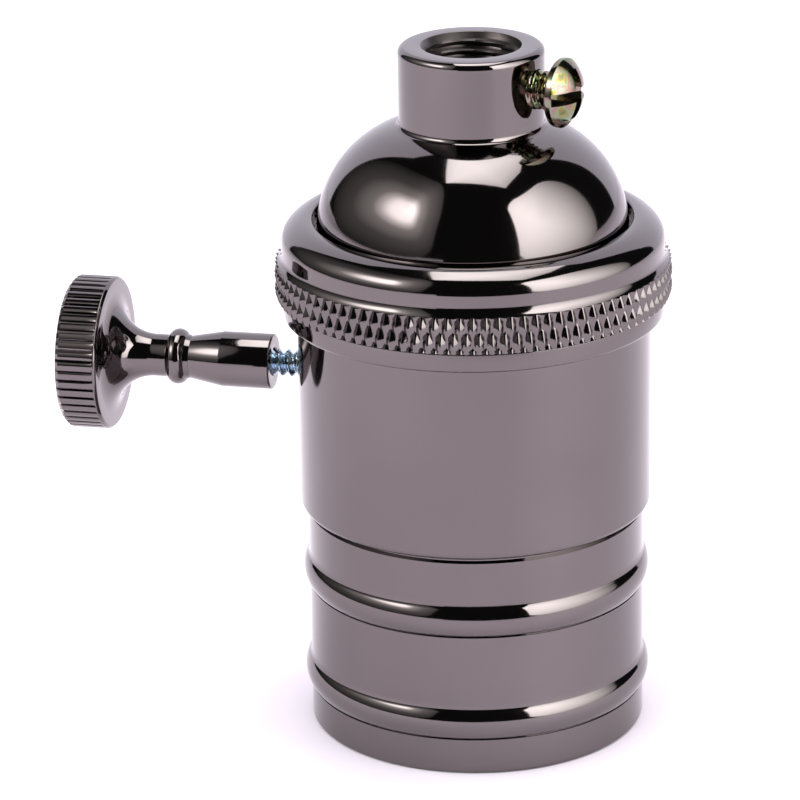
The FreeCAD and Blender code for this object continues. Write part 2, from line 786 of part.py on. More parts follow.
def switchHousing():
    """Upper porcelain: collar, terminal deck, switch chamber, bearings, slots and screw holes."""
    body = newBody("switch_housing")
    turn(body, [
        (0, floorTop),
        (housingRadius, floorTop),
        (housingRadius, deckHeight + s.collarRise),
        (housingRadius - s.collarThickness, deckHeight + s.collarRise),
        (housingRadius - s.collarThickness, deckHeight),
        (0, deckHeight),
    ])
    chamber = sketchOn(body, "XY_Plane", "Chamber", floorTop)
    rectangle(chamber, -chamberKnobSide, chamberBack, -s.chamberHalfWidth, s.chamberHalfWidth)
    cut(body, chamber, chamberRoof - floorTop, along=True)
    bushHole = circle(sketchOn(body, "YZ_Plane", "BushHole"), 0, s.shaftHeight, s.bushRadius + s.bushPlay)
    cut(body, bushHole, s.shellRadius)
    pivotBore = s.pivotRadius + s.pivotPlay
    pivotHole = circle(sketchOn(body, "YZ_Plane", "PivotHole"), 0, s.shaftHeight, pivotBore)
    cut(body, pivotHole, chamberBack + s.pivotDepth, along=True)
    halfSlot = s.bladeWidth / 2 + s.slotPlay
    slots = sketchOn(body, "XY_Plane", "Slots", deckHeight)
    bladeNear = rotorRadius + s.bladePlay
    rectangle(slots, -halfSlot, halfSlot, bladeNear - s.slotPlay, bladeNear + s.stripThickness + s.slotPlay)
    strapFar = strapPlace + s.stripThickness
    rectangle(slots, strapPlace - s.slotPlay, strapFar + s.slotPlay, -halfSlot, halfSlot)
    cut(body, slots, deckHeight - floorTop)
    recesses = sketchOn(body, "XY_Plane", "Recesses", floorTop)
    halfRecess = s.bladeWidth / 2 + s.recessPlay
    footStart = strapFootEnd - s.recessPlay
    rectangle(recesses, footStart, strapFar + s.recessPlay, -halfRecess, halfRecess)
    footEnd = s.contactRivetPlace + s.footReach + s.recessPlay
    rectangle(recesses, -halfRecess, halfRecess, -footEnd, -s.chamberHalfWidth + s.slotPlay)
    cut(body, recesses, s.recessDepth, along=True)
    terminalHoles = sketchOn(body, "XY_Plane", "TerminalHoles", deckHeight)
    circle(terminalHoles, 0, lineTerminalPlace, s.terminalRadius + s.rivetPlay)
    circle(terminalHoles, neutralTerminalPlace, 0, s.terminalRadius + s.rivetPlay)
    cut(body, terminalHoles, s.terminalLength - s.clampThickness - s.stripThickness + s.slotPlay)
    screwHoles = sketchOn(body, "XY_Plane", "ScrewHoles", floorTop)
    for x in (housingScrewPlace, -housingScrewPlace):
        circle(screwHoles, x, x, s.housingScrewRadius + s.rivetPlay)
    screwReach = sleeveTop + s.housingScrewLength - floorTop
    cut(body, screwHoles, screwReach + s.slotPlay, along=True)
    return body


def screwShell():
    """Rolled lamp sleeve with its thread and the flange that is riveted to the porcelain."""
    body = newBody("screw_shell")
    bottom = s.baseBottom + s.sleeveInset
    flangeInner = sleeveRoot - s.sleeveFlangeWidth
    ridgeFoot = sleeveRoot + s.sleeveSheet / 2
    turn(body, [
        (sleeveRoot, bottom),
        (sleeveOuter, bottom),
        (sleeveOuter, floorBottom),
        (flangeInner, floorBottom),
        (flangeInner, sleeveTop),
        (sleeveRoot, sleeveTop),
    ])
    ridgeMiddle = bottom + s.sleeveThreadStart
    ridge = outline(sketchOn(body, "XZ_Plane", "Ridge"), [
        (sleeveCrest, ridgeMiddle - s.ridgeHalfCrest),
        (ridgeFoot, ridgeMiddle - s.ridgeHalfFoot),
        (ridgeFoot, ridgeMiddle + s.ridgeHalfFoot),
        (sleeveCrest, ridgeMiddle + s.ridgeHalfCrest),
    ])
    helix = body.newObject("PartDesign::AdditiveHelix", "SleeveThread")
    helix.Profile = ridge
    helix.ReferenceAxis = (ridge, ["V_Axis"])
    helix.Mode = 0
    bind(helix, "Pitch", s.sleevePitch)
    bind(helix, "Height", sleeveTop - s.sleeveThreadEnd - ridgeMiddle)
    body.Tip = helix
    holes = sketchOn(body, "XY_Plane", "Holes", floorBottom)
    for x in (rivetPlace, -rivetPlace):
        circle(holes, x, 0, s.rivetRadius + s.rivetPlay)
    for x in (housingScrewPlace, -housingScrewPlace):
        circle(holes, x, x, s.housingScrewRadius + s.rivetPlay)
    cut(body, holes, s.sleeveSheet)
    return body


def rivet(label, bottom, top, headRadius):
    """Rivet with a domed head below and an upset head above the grip."""
    body = newBody(label)
    height = s.rivetHeadHeight
    crown = (headRadius * headRadius + height * height) / (height * 2)
    turn(body, [
        (0, bottom - height),
        (headRadius, bottom, crown),
        (s.rivetRadius, bottom),
        (s.rivetRadius, top),
        (headRadius, top),
        (headRadius - height / 2, top + height),
        (0, top + height),
    ])
    return body


def shellRivets():
    """Two rivets of the sleeve, one of them through the strap's foot."""
    withStrap = rivet("RivetStrap", sleeveTop, floorTop + s.stripThickness, s.rivetHeadRadius)
    plain = rivet("RivetPlain", sleeveTop, floorTop, s.rivetHeadRadius)
    return group("shell_rivets", [at(withStrap, x=rivetPlace), at(plain, x=-rivetPlace)])


def contactTongue():
    """Spring strip under the floor, bent down to carry the contact button."""
    body = newBody("contact_tongue")
    top = floorBottom
    under = top - s.stripThickness
    section = outline(sketchOn(body, "YZ_Plane", "Strip"), [
        (-s.tongueEnd, under),
        (-s.tongueFlat, under),
        (-s.tongueKnee, under - s.tongueDrop),
        (s.tongueTip, under - s.tongueDrop),
        (s.tongueTip, top - s.tongueDrop),
        (-s.tongueKnee, top - s.tongueDrop),
        (-s.tongueFlat, top),
        (-s.tongueEnd, top),
    ])
    pad(body, section, s.tongueWidth, symmetric=True)
    hole = circle(sketchOn(body, "XY_Plane", "Hole", top), 0, -s.contactRivetPlace,
                  s.rivetRadius + s.rivetPlay)
    cut(body, hole, s.stripThickness)
    return body


def contactButton():
    """Domed contact under the tongue's tip."""
    body = newBody("contact_button")
    top = floorBottom - s.stripThickness - s.tongueDrop
    domeHeight = s.buttonHeight - s.buttonEdge
    crown = (s.buttonRadius * s.buttonRadius + domeHeight * domeHeight) / (domeHeight * 2)
    turn(body, [
        (0, top - s.buttonHeight),
        (s.buttonRadius, top - s.buttonEdge, crown),
        (s.buttonRadius, top),
        (0, top),
    ])
    return body


def contactRivet():
    """Rivet through the tongue, the floor and the load blade's foot."""
    body = rivet("contact_rivet", floorBottom - s.stripThickness, floorTop + s.stripThickness,
                 s.contactRivetHeadRadius)
    return at(body, y=-s.contactRivetPlace)


def lineBlade():
    """Spring blade beside the rotor, bent over the deck as the line terminal."""
    body = newBody("line_blade")
    near = rotorRadius + s.bladePlay
    far = near + s.stripThickness
    bottom = s.shaftHeight - s.lineBladeBelow
    deckTop = deckHeight + s.stripThickness
    section = outline(sketchOn(body, "YZ_Plane", "Strip"), [
        (near, bottom),
        (far, bottom),
        (far, deckHeight),
        (lineTerminalPlace + s.flangeReach, deckHeight),
        (lineTerminalPlace + s.flangeReach, deckTop),
        (near, deckTop),
    ])
    pad(body, section, s.bladeWidth, symmetric=True)
    hole = circle(sketchOn(body, "XY_Plane", "Hole", deckTop), 0, lineTerminalPlace,
                  s.terminalRadius + s.rivetPlay)
    cut(body, hole, s.stripThickness)
    return body


def loadBlade():
    """Spring blade on the rotor's other side, its foot riveted to the floor."""
    body = newBody("load_blade")
    near = rotorRadius + s.bladePlay
    far = near + s.stripThickness
    footTop = floorTop + s.stripThickness
    footEnd = s.contactRivetPlace + s.footReach
    bladeTop = s.shaftHeight + s.loadBladeAbove
    section = outline(sketchOn(body, "YZ_Plane", "Strip"), [
        (-near, floorTop),
        (-near, bladeTop),
        (-far, bladeTop),
        (-far, footTop),
        (-footEnd, footTop),
        (-footEnd, floorTop),
    ])
    pad(body, section, s.bladeWidth, symmetric=True)
    hole = circle(sketchOn(body, "XY_Plane", "Hole", footTop), 0, -s.contactRivetPlace,
                  s.rivetRadius + s.rivetPlay)
    cut(body, hole, s.stripThickness)
    return body


def neutralStrap():
    """Strip from the sleeve's rivet up through the housing to the neutral terminal."""
    body = newBody("neutral_strap")
    far = strapPlace + s.stripThickness
    footTop = floorTop + s.stripThickness
    deckTop = deckHeight + s.stripThickness
    flangeEnd = neutralTerminalPlace - s.flangeReach
    section = outline(sketchOn(body, "XZ_Plane", "Strip"), [
        (strapFootEnd, floorTop),
        (far, floorTop),
        (far, deckTop),
        (flangeEnd, deckTop),
        (flangeEnd, deckHeight),
        (strapPlace, deckHeight),
        (strapPlace, footTop),
        (strapFootEnd, footTop),
    ])
    pad(body, section, s.bladeWidth, symmetric=True)
    foot = circle(sketchOn(body, "XY_Plane", "FootHole", footTop), rivetPlace, 0,
                  s.rivetRadius + s.rivetPlay)
    cut(body, foot, s.stripThickness)
    hole = circle(sketchOn(body, "XY_Plane", "Hole", deckTop), neutralTerminalPlace, 0,
                  s.terminalRadius + s.rivetPlay)
    cut(body, hole, s.stripThickness)
    return body


def switchRotor():
    """Moulded rotor: pivot, hub, barrel with the bridge's hole, square cam and bored collar."""
    body = onShaftLine(newBody("switch_rotor"))
    pivotEnd = chamberBack + s.pivotReach
    hubEnd = chamberBack - s.rotorBackPlay
    collarEnd = chamberKnobSide - s.bushFlangeLength - s.rotorFrontPlay
    turn(body, [
        (0, -pivotEnd),
        (s.pivotRadius, -pivotEnd),
        (s.pivotRadius, -hubEnd),
        (s.rotorHubRadius, -hubEnd),
        (s.rotorHubRadius, -rotorBarrelEnd),
        (rotorRadius, -rotorBarrelEnd),
        (rotorRadius, s.camStart),
        (s.rotorCollarRadius, s.camStart),
        (s.rotorCollarRadius, collarEnd),
        (0, collarEnd),
    ])
    side = s.camSize / 2
    flat = side - s.camCorner
    cam = outline(sketchOn(body, "XY_Plane", "Cam", s.camStart), [
        (side, -flat, s.camCorner),
        (side, flat),
        (flat, side, s.camCorner),
        (-flat, side),
        (-side, flat, s.camCorner),
        (-side, -flat),
        (-flat, -side, s.camCorner),
        (flat, -side),
    ])
    pad(body, cam, s.camLength)
    bore = circle(sketchOn(body, "XY_Plane", "Bore", collarEnd), 0, 0, s.shaftRadius + s.shaftPlay)
    cut(body, bore, collarEnd - s.rotorBoreEnd)
    bridgePlane = sketchOn(body, "XZ_Plane", "BridgeHole", -rotorRadius)
    bridge = circle(bridgePlane, 0, 0, s.bridgeRadius + s.shaftPlay)
    cut(body, bridge, rotorRadius * 2, along=True)
    return body


def rotorBridge():
    """Brass pin across the rotor, its ends rounded to the barrel."""
    pin = doc.addObject("Part::Cylinder", "BridgePin")
    bind(pin, "Radius", s.bridgeRadius)
    bind(pin, "Height", (rotorRadius + s.cutMargin) * 2)
    pin.Placement = FreeCAD.Placement(V(), FreeCAD.Rotation(V(1, 0, 0), -90))
    bind(pin, "Placement.Base.y", -rotorRadius - s.cutMargin)
    bind(pin, "Placement.Base.z", s.shaftHeight)
    barrel = doc.addObject("Part::Cylinder", "BridgeRound")
    bind(barrel, "Radius", rotorRadius + s.shaftPlay)
    bind(barrel, "Height", rotorRadius * 2)
    barrel.Placement = FreeCAD.Placement(V(), FreeCAD.Rotation(V(0, 1, 0), -90))
    bind(barrel, "Placement.Base.x", rotorRadius)
    bind(barrel, "Placement.Base.z", s.shaftHeight)
    bridge = doc.addObject("Part::Common", "rotor_bridge")
    bridge.Label = "rotor_bridge"
    bridge.Base = pin
    bridge.Tool = barrel
    return bridge


def detentSpring():
    """Leaf spring between the chamber's roof and the square cam."""
    body = onShaftLine(newBody("detent_spring"))
    under = s.camSize / 2 + s.detentPlay
    roof = s.chamberAboveShaft
    thick = s.detentThickness
    kneeSpan = s.detentHalfSpan - s.detentFoot
    section = outline(sketchOn(body, "XY_Plane", "Leaf", s.camStart + s.detentInset), [
        (under, -s.detentHalfFlat),
        (under, s.detentHalfFlat),
        (roof - thick, kneeSpan),
        (roof - thick, s.detentHalfSpan),
        (roof, s.detentHalfSpan),
        (roof, kneeSpan - thick),
        (under + thick, s.detentHalfFlat - thick),
        (under + thick, -s.detentHalfFlat + thick),
        (roof, -kneeSpan + thick),
        (roof, -s.detentHalfSpan),
        (roof - thick, -s.detentHalfSpan),
        (roof - thick, -kneeSpan),
    ])
    pad(body, section, s.camLength - s.detentInset * 2)
    return body


def shaftBush():
    """Flanged bush of the shaft in the housing's wall."""
    body = onShaftLine(newBody("shaft_bush"))
    inner = s.shaftRadius + s.bushPlay
    flangeStart = chamberKnobSide - s.bushFlangeLength
    turn(body, [
        (inner, flangeStart),
        (s.bushFlangeRadius, flangeStart),
        (s.bushFlangeRadius, chamberKnobSide),
        (s.bushRadius, chamberKnobSide),
        (s.bushRadius, chamberKnobSide + s.bushLength),
        (inner, chamberKnobSide + s.bushLength),
    ])
    return body


def slottedScrew(label, radius, length, headRadius, headHeight, spin):
    """Cheese head screw: head above its own origin, shank below, slot across the head."""
    body = newBody(label)
    turn(body, [
        (0, -length),
        (radius - s.screwEdge, -length),
        (radius, s.screwEdge - length),
        (radius, 0),
        (headRadius, 0),
        (headRadius, headHeight - s.screwEdge),
        (headRadius - s.screwEdge, headHeight),
        (0, headHeight),
    ])
    half = s.terminalSlotWidth / 2
    slot = rectangle(sketchOn(body, "XY_Plane", "Slot", headHeight), -headRadius, headRadius, -half, half)
    cut(body, slot, s.terminalSlotDepth)
    body.Placement = FreeCAD.Placement(V(), spin)
    return body


def terminalScrews():
    """Two screws of the wire clamps."""
    seat = deckHeight + s.stripThickness + s.clampThickness
    screws = []
    for label, x, y in terminalPlaces:
        screw = slottedScrew("Screw" + label, s.terminalRadius, s.terminalLength, s.terminalHeadRadius,
                             s.terminalHeadHeight, FreeCAD.Rotation())
        screws.append(at(screw, x, y, seat))
    return group("terminal_screws", screws)


def terminalClamps():
    """Two square plates that hold the wires."""
    plates = []
    half = s.clampSize / 2
    for label, x, y in terminalPlaces:
        plate = newBody("Clamp" + label)
        square = rectangle(sketchOn(plate, "XY_Plane", "Plate"), -half, half, -half, half)
        pad(plate, square, s.clampThickness)
        upper = sketchOn(plate, "XY_Plane", "Hole", s.clampThickness)
        hole = circle(upper, 0, 0, s.terminalRadius + s.rivetPlay)
        cut(plate, hole, s.clampThickness)
        plates.append(at(plate, x, y, deckHeight + s.stripThickness))
    return group("terminal_clamps", plates)


def housingScrews():
    """Two screws from below that hold the two porcelains together."""
    upward = FreeCAD.Rotation(V(1, 0, 0), 180)
    screws = []
    for label, reach in (("ScrewRight", housingScrewPlace), ("ScrewLeft", -housingScrewPlace)):
        screw = slottedScrew(label, s.housingScrewRadius, s.housingScrewLength, s.housingScrewHeadRadius,
                             s.housingScrewHeadHeight, upward)
        screws.append(at(screw, reach, reach, sleeveTop))
    return group("housing_screws", screws)


nodes = [
    outerShell(), lockingRing(), domeCap(), clampScrew(), knobPiece(), switchShaft(), ceramicBase(),
    switchHousing(), screwShell(), shellRivets(), contactTongue(), contactButton(), contactRivet(),
    lineBlade(), loadBlade(), neutralStrap(), switchRotor(), rotorBridge(), detentSpring(), shaftBush(),
    terminalScrews(), terminalClamps(), housingScrews(),
]
doc.recompute()

for item in doc.Objects:
    if "Invalid" in item.State or "Error" in item.State:
        raise RuntimeError(f"{item.Label} failed: {item.State}")
    if item.isDerivedFrom("PartDesign::Pocket"):
        if item.BaseFeature.Shape.Volume - item.Shape.Volume < 1e-3:
            raise RuntimeError(f"{item.Label} cuts nothing")
for node in nodes:
    if node.Shape.isNull() or not node.Shape.isValid():
        raise RuntimeError(f"{node.Label} has no valid shape")

os.makedirs("parts", exist_ok=True)
for node in nodes:
    node.Shape.exportStep(f"parts/{node.Label}.step")
    box = node.Shape.BoundBox
    print(node.Label, len(node.Shape.Solids), round(node.Shape.Volume, 2),
          [round(value, 2) for value in (box.XMin, box.XMax, box.YMin, box.YMax, box.ZMin, box.ZMax)])
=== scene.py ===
import bmesh
import bpy
import math
from mathutils import Matrix, Vector


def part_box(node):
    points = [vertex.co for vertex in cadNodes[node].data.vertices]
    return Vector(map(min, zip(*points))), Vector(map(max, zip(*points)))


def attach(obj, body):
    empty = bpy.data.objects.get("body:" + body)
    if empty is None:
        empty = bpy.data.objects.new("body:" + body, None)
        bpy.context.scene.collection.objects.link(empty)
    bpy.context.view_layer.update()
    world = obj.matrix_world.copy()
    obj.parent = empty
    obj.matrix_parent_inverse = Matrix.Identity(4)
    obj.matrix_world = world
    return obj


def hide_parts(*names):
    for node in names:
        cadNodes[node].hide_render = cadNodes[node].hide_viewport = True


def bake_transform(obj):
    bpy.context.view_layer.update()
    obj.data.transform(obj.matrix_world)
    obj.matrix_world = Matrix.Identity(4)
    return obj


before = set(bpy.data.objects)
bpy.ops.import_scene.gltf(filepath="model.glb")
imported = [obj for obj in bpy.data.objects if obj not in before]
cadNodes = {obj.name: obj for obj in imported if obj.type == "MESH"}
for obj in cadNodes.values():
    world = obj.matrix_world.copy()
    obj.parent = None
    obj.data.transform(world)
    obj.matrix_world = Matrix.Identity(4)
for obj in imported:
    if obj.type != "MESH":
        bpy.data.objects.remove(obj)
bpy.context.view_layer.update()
mm = 0.001
scene = bpy.context.scene
scene.view_settings.view_transform = "Standard"
print("frame loaded:", len(cadNodes), "nodes")


def addObject(name, data):
    added = bpy.data.objects.new(name, data)
    scene.collection.objects.link(added)
    return added


def intoMesh(made, name):
    # the bmesh is used up
    mesh = bpy.data.meshes.new(name)
    made.to_mesh(mesh)
    made.free()
    return mesh


# Camera, fitted to the photograph
cameraView = {
    "place": (0.0838, -0.41533, 0.18855),
    "turn": 12.44,  # degrees about Z
    "pitch": 20.02,  # degrees down
    "roll": -0.94,
    "lens": 198.2,
    "sensor": 36.0,
    "clip": (0.05, 20),
}


def makeCamera(view):
    turn, pitch, roll = (math.radians(view[key]) for key in ("turn", "pitch", "roll"))
    forward = Vector((-math.sin(turn) * math.cos(pitch), math.cos(turn) * math.cos(pitch), -math.sin(pitch)))
    right = Vector((math.cos(turn), math.sin(turn), 0))
    up = right.cross(forward)
    rolledRight = right * math.cos(roll) + up * math.sin(roll)
    rolledUp = up * math.cos(roll) - right * math.sin(roll)
    data = bpy.data.cameras.new("photoCamera")
    data.lens = view["lens"]
    data.sensor_width = view["sensor"]
    data.clip_start, data.clip_end = view["clip"]
    camera = addObject("photoCamera", data)
    columns = Matrix((rolledRight, rolledUp, -forward)).transposed().to_4x4()
    camera.matrix_world = Matrix.Translation(view["place"]) @ columns
    scene.camera = camera


makeCamera(cameraView)
print("camera placed")


# Node group helpers
def addNode(tree, kind, values=None, **settings):
    # values are for the node's inputs, settings for the node itself
    node = tree.nodes.new(kind)
    for key, value in settings.items():
        setattr(node, key, value)
    setInputs(node, values or {})
    return node


def setInputs(node, values):
    for key, value in values.items():
        node.inputs[key].default_value = value


def join(first, output, second, target):
    first.id_data.links.new(first.outputs[output], second.inputs[target])


def newGroup(name, inputs, output):
    # inputs are numbers or vectors by name, and the one output is a number
    group = bpy.data.node_groups.new(name, "ShaderNodeTree")
    for key, value in inputs.items():
        kind = "NodeSocketVector" if isinstance(value, tuple) else "NodeSocketFloat"
        socket = group.interface.new_socket(name=key, in_out="INPUT", socket_type=kind)
        socket.default_value = value
    group.interface.new_socket(name=output, in_out="OUTPUT", socket_type="NodeSocketFloat")
    return group, addNode(group, "NodeGroupInput"), addNode(group, "NodeGroupOutput")


# A slow cloud between two values, for tint and polish that drift over a surface
def makeSoftCloud():
    group, given, result = newGroup("softCloud", {"Scale": 60.0, "Low": 0.0, "High": 1.0}, "Value")
    place = addNode(group, "ShaderNodeTexCoord")
    noise = addNode(group, "ShaderNodeTexNoise", {"Detail": 3.0})
    span = addNode(group, "ShaderNodeMapRange", {"From Min": 0.3, "From Max": 0.7})
    join(place, "Object", noise, "Vector")
    join(given, "Scale", noise, "Scale")
    join(noise, "Fac", span, "Value")
    join(given, "Low", span, "To Min")
    join(given, "High", span, "To Max")
    join(span, "Result", result, "Value")
    return group


# Fine hair scratches in two crossing directions, as a height
def makeHairScratches():
    group, given, result = newGroup("hairScratches", {"Scale": 900.0, "Stretch": 0.06}, "Height")
    place = addNode(group, "ShaderNodeTexCoord")
    shape = addNode(group, "ShaderNodeCombineXYZ", {"X": 1.0, "Y": 1.0})
    join(given, "Stretch", shape, "Z")
    heights = []
    for lean in (0.5, -0.8):  # radians, of the two directions
        tilt = {"Rotation": (lean, lean * 0.7, 0)}
        turned = addNode(group, "ShaderNodeVectorRotate", tilt, rotation_type="EULER_XYZ")
        stretched = addNode(group, "ShaderNodeVectorMath", operation="MULTIPLY")
        noise = addNode(group, "ShaderNodeTexNoise", {"Detail": 1.0})
        line = addNode(group, "ShaderNodeMapRange", {"From Min": 0.62, "From Max": 0.74})
        join(place, "Object", turned, "Vector")
        join(turned, "Vector", stretched, 0)
        join(shape, "Vector", stretched, 1)
        join(stretched, "Vector", noise, "Vector")
        join(given, "Scale", noise, "Scale")
        join(noise, "Fac", line, "Value")
        heights.append(line)
    both = addNode(group, "ShaderNodeMath", operation="MAXIMUM")
    join(heights[0], "Result", both, 0)
    join(heights[1], "Result", both, 1)
    join(both, "Value", result, "Height")
    return group


# Fine turning marks: rings at one height each, seen on lathe work
def makeTurningMarks():
    group, given, result = newGroup("turningMarks", {"Scale": 2500.0, "Axis": (0.0, 0.0, 1.0)}, "Height")
    place = addNode(group, "ShaderNodeTexCoord")
    along = addNode(group, "ShaderNodeVectorMath", operation="MULTIPLY")
    noise = addNode(group, "ShaderNodeTexNoise", {"Detail": 4.0})
    join(place, "Object", along, 0)
    join(given, "Axis", along, 1)
    join(along, "Vector", noise, "Vector")
    join(given, "Scale", noise, "Scale")
    join(noise, "Fac", result, "Height")
    return group


# Paler edges, from how sharply the mesh turns
def makeEdgeMask():
    group, given, result = newGroup("edgeMask", {"Start": 0.53, "End": 0.6}, "Mask")
    geometry = addNode(group, "ShaderNodeNewGeometry")
    span = addNode(group, "ShaderNodeMapRange")
    join(geometry, "Pointiness", span, "Value")
    join(given, "Start", span, "From Min")
    join(given, "End", span, "From Max")
    join(span, "Result", result, "Mask")
    return group


softCloud = makeSoftCloud()
hairScratches = makeHairScratches()
turningMarks = makeTurningMarks()
edgeMask = makeEdgeMask()


def newMaterial(name):
    material = bpy.data.materials.new(name)
    material.use_nodes = True
    tree = material.node_tree
    return material, tree, tree.nodes["Principled BSDF"]


def addGroup(tree, group, **values):
    # the group is set first, as its inputs come with it
    return addNode(tree, "ShaderNodeGroup", values, node_tree=group)


def mixColours(tree, factor, first, second):
    mix = addNode(tree, "ShaderNodeMix", {"A": (*first, 1), "B": (*second, 1)}, data_type="RGBA")
    tree.links.new(factor, mix.inputs["Factor"])
    return mix.outputs["Result"]


def addBump(tree, shader, height, distance):
    bump = addNode(tree, "ShaderNodeBump", {"Distance": distance, "Strength": 1.0})
    tree.links.new(height, bump.inputs["Height"])
    join(bump, "Normal", shader, "Normal")


def addTint(tree, finish):
    # two close tones that drift into each other
    cloud = addGroup(tree, softCloud, Scale=finish["cloudScale"])
    return mixColours(tree, cloud.outputs["Value"], finish["dark"], finish["light"])


def addPolish(tree, shader, finish):
    # polish that drifts as the tint does, but finer
    scale = finish["cloudScale"] * finish["polishFiner"]
    polish = addGroup(tree, softCloud, Scale=scale, Low=finish["smooth"], High=finish["rough"])
    join(polish, "Value", shader, "Roughness")


def addToolRings(tree, shader, finish, axis):
    rings = addGroup(tree, turningMarks, Scale=finish["ringScale"], Axis=axis)
    addBump(tree, shader, rings.outputs["Height"], finish["ringDepth"])


def tintedMetal(name, finish):
    material, tree, shader = newMaterial(name)
    shader.inputs["Metallic"].default_value = 1.0
    tree.links.new(addTint(tree, finish), shader.inputs["Base Color"])
    addPolish(tree, shader, finish)
    return material, tree, shader


# Polished metal, with hair scratches
def polishedMetal(name, finish):
    material, tree, shader = tintedMetal(name, finish)
    marks = addGroup(tree, hairScratches, Scale=finish["scratchScale"])
    addBump(tree, shader, marks.outputs["Height"], finish["scratchDepth"])
    return material


# Turned metal, with rings left by the tool
def turnedMetal(name, finish):
    material, tree, shader = tintedMetal(name, finish)
    addToolRings(tree, shader, finish, (0, 0, 1))
    return material


# Passivated zinc, turned along X: a thin film whose hue wanders
def passivatedZinc(name, finish):
    material, tree, shader = newMaterial(name)
    shader.inputs["Metallic"].default_value = 1.0
    hue = addGroup(tree, softCloud, Scale=finish["cloudScale"])
    ramp = addNode(tree, "ShaderNodeValToRGB")
    join(hue, "Value", ramp, "Fac")
    film, stops = finish["film"], ramp.color_ramp.elements
    stops[0].position, stops[0].color = 0.0, (*film[0], 1)
    stops[1].position, stops[1].color = 1.0, (*film[-1], 1)
    for place, colour in enumerate(film[1:-1], start=1):
        stops.new(place / (len(film) - 1)).color = (*colour, 1)
    join(ramp, "Color", shader, "Base Color")
    addPolish(tree, shader, finish)
    addToolRings(tree, shader, finish, (1, 0, 0))
    return material


# Glazed porcelain: warm white body, glaze as a coat that ripples, paler edges
def glazedPorcelain(name, finish):
    material, tree, shader = newMaterial(name)
    body = addTint(tree, finish)
    edges = addGroup(tree, edgeMask, Start=finish["edgeStart"], End=finish["edgeEnd"])
    paledEdges = addNode(tree, "ShaderNodeMix", {"B": (*finish["edge"], 1)}, data_type="RGBA")
    join(edges, "Mask", paledEdges, "Factor")
    tree.links.new(body, paledEdges.inputs["A"])
    join(paledEdges, "Result", shader, "Base Color")
    addPolish(tree, shader, finish)
    setInputs(shader, {"Coat Weight": finish["glaze"], "Coat Roughness": finish["glazeRoughness"]})
    ripple = addGroup(tree, softCloud, Scale=finish["rippleScale"])
    addBump(tree, shader, ripple.outputs["Value"], finish["rippleDepth"])
    return material


# Moulded resin: dark, slightly mottled, satin
def mouldedResin(name, finish):
    material, tree, shader = newMaterial(name)
    tree.links.new(addTint(tree, finish), shader.inputs["Base Color"])
    addPolish(tree, shader, finish)
    grain = addGroup(tree, softCloud, Scale=finish["grainScale"])
    addBump(tree, shader, grain.outputs["Value"], finish["grainDepth"])
    return material


blackNickelFinish = {
    "dark": (0.143, 0.126, 0.126),
    "light": (0.163, 0.145, 0.145),
    "cloudScale": 45.0,
    "polishFiner": 2.3,
    "smooth": 0.045,
    "rough": 0.085,
    "scratchScale": 700.0,
    "scratchDepth": 0.0000004,
}
yellowZincFinish = {
    "film": (
        (0.11, 0.13, 0.07),
        (0.24, 0.18, 0.05),
        (0.16, 0.25, 0.16),
        (0.27, 0.14, 0.12),
        (0.20, 0.22, 0.18),
        (0.24, 0.18, 0.08),
    ),
    "cloudScale": 760.0,
    "polishFiner": 3.0,
    "smooth": 0.08,
    "rough": 0.16,
    "ringScale": 2600.0,
    "ringDepth": 0.000004,
}
blueZincFinish = {
    "film": ((0.28, 0.40, 0.52), (0.44, 0.56, 0.66), (0.56, 0.60, 0.64)),
    "cloudScale": 600.0,
    "polishFiner": 3.0,
    "smooth": 0.16,
    "rough": 0.3,
    "ringScale": 2600.0,
    "ringDepth": 0.000004,
}
brassFinish = {
    "dark": (0.62, 0.42, 0.17),
    "light": (0.76, 0.55, 0.26),
    "cloudScale": 180.0,
    "polishFiner": 2.3,
    "smooth": 0.18,
    "rough": 0.34,
    "ringScale": 2400.0,
    "ringDepth": 0.000003,
}
nickelBrassFinish = {
    "dark": (0.48, 0.45, 0.39),
    "light": (0.62, 0.59, 0.52),
    "cloudScale": 140.0,
    "polishFiner": 2.3,
    "smooth": 0.14,
    "rough": 0.28,
    "scratchScale": 900.0,
    "scratchDepth": 0.000002,
}
springSteelFinish = {
    "dark": (0.30, 0.30, 0.32),
    "light": (0.42, 0.42, 0.44),
    "cloudScale": 260.0,
    "polishFiner": 2.3,
    "smooth": 0.2,
    "rough": 0.34,
    "scratchScale": 900.0,
    "scratchDepth": 0.000002,
}
porcelainFinish = {
    "dark": (0.72, 0.69, 0.62),
    "light": (0.80, 0.78, 0.72),
    "edge": (0.84, 0.82, 0.77),
    "edgeStart": 0.54,
    "edgeEnd": 0.64,
    "cloudScale": 90.0,
    "polishFiner": 4.0,
    "smooth": 0.12,
    "rough": 0.24,
    "rippleScale": 260.0,
    "rippleDepth": 0.00002,
    "glaze": 0.6,
    "glazeRoughness": 0.08,
}
resinFinish = {
    "dark": (0.030, 0.017, 0.011),
    "light": (0.055, 0.032, 0.020),
    "cloudScale": 400.0,
    "polishFiner": 3.0,
    "smooth": 0.3,
    "rough": 0.45,
    "grainScale": 3000.0,
    "grainDepth": 0.000004,
}
# Painted shade: a darker nickel for the tapped bore and its chamfer, so the hole reads dark; its higher
# roughness stands for the cut threads
shadedBoreNickelFinish = {
    "dark": (0.060, 0.052, 0.052),
    "light": (0.110, 0.097, 0.096),
    "cloudScale": 200.0,
    "polishFiner": 2.3,
    "smooth": 0.3,
    "rough": 0.42,
    "scratchScale": 700.0,
    "scratchDepth": 0.000002,
}
blackNickel = polishedMetal("blackNickel", blackNickelFinish)
shadedBoreNickel = polishedMetal("shadedBoreNickel", shadedBoreNickelFinish)
yellowZinc = passivatedZinc("yellowZinc", yellowZincFinish)
blueZinc = passivatedZinc("blueZinc", blueZincFinish)
brassTurned = turnedMetal("brassTurned", brassFinish)
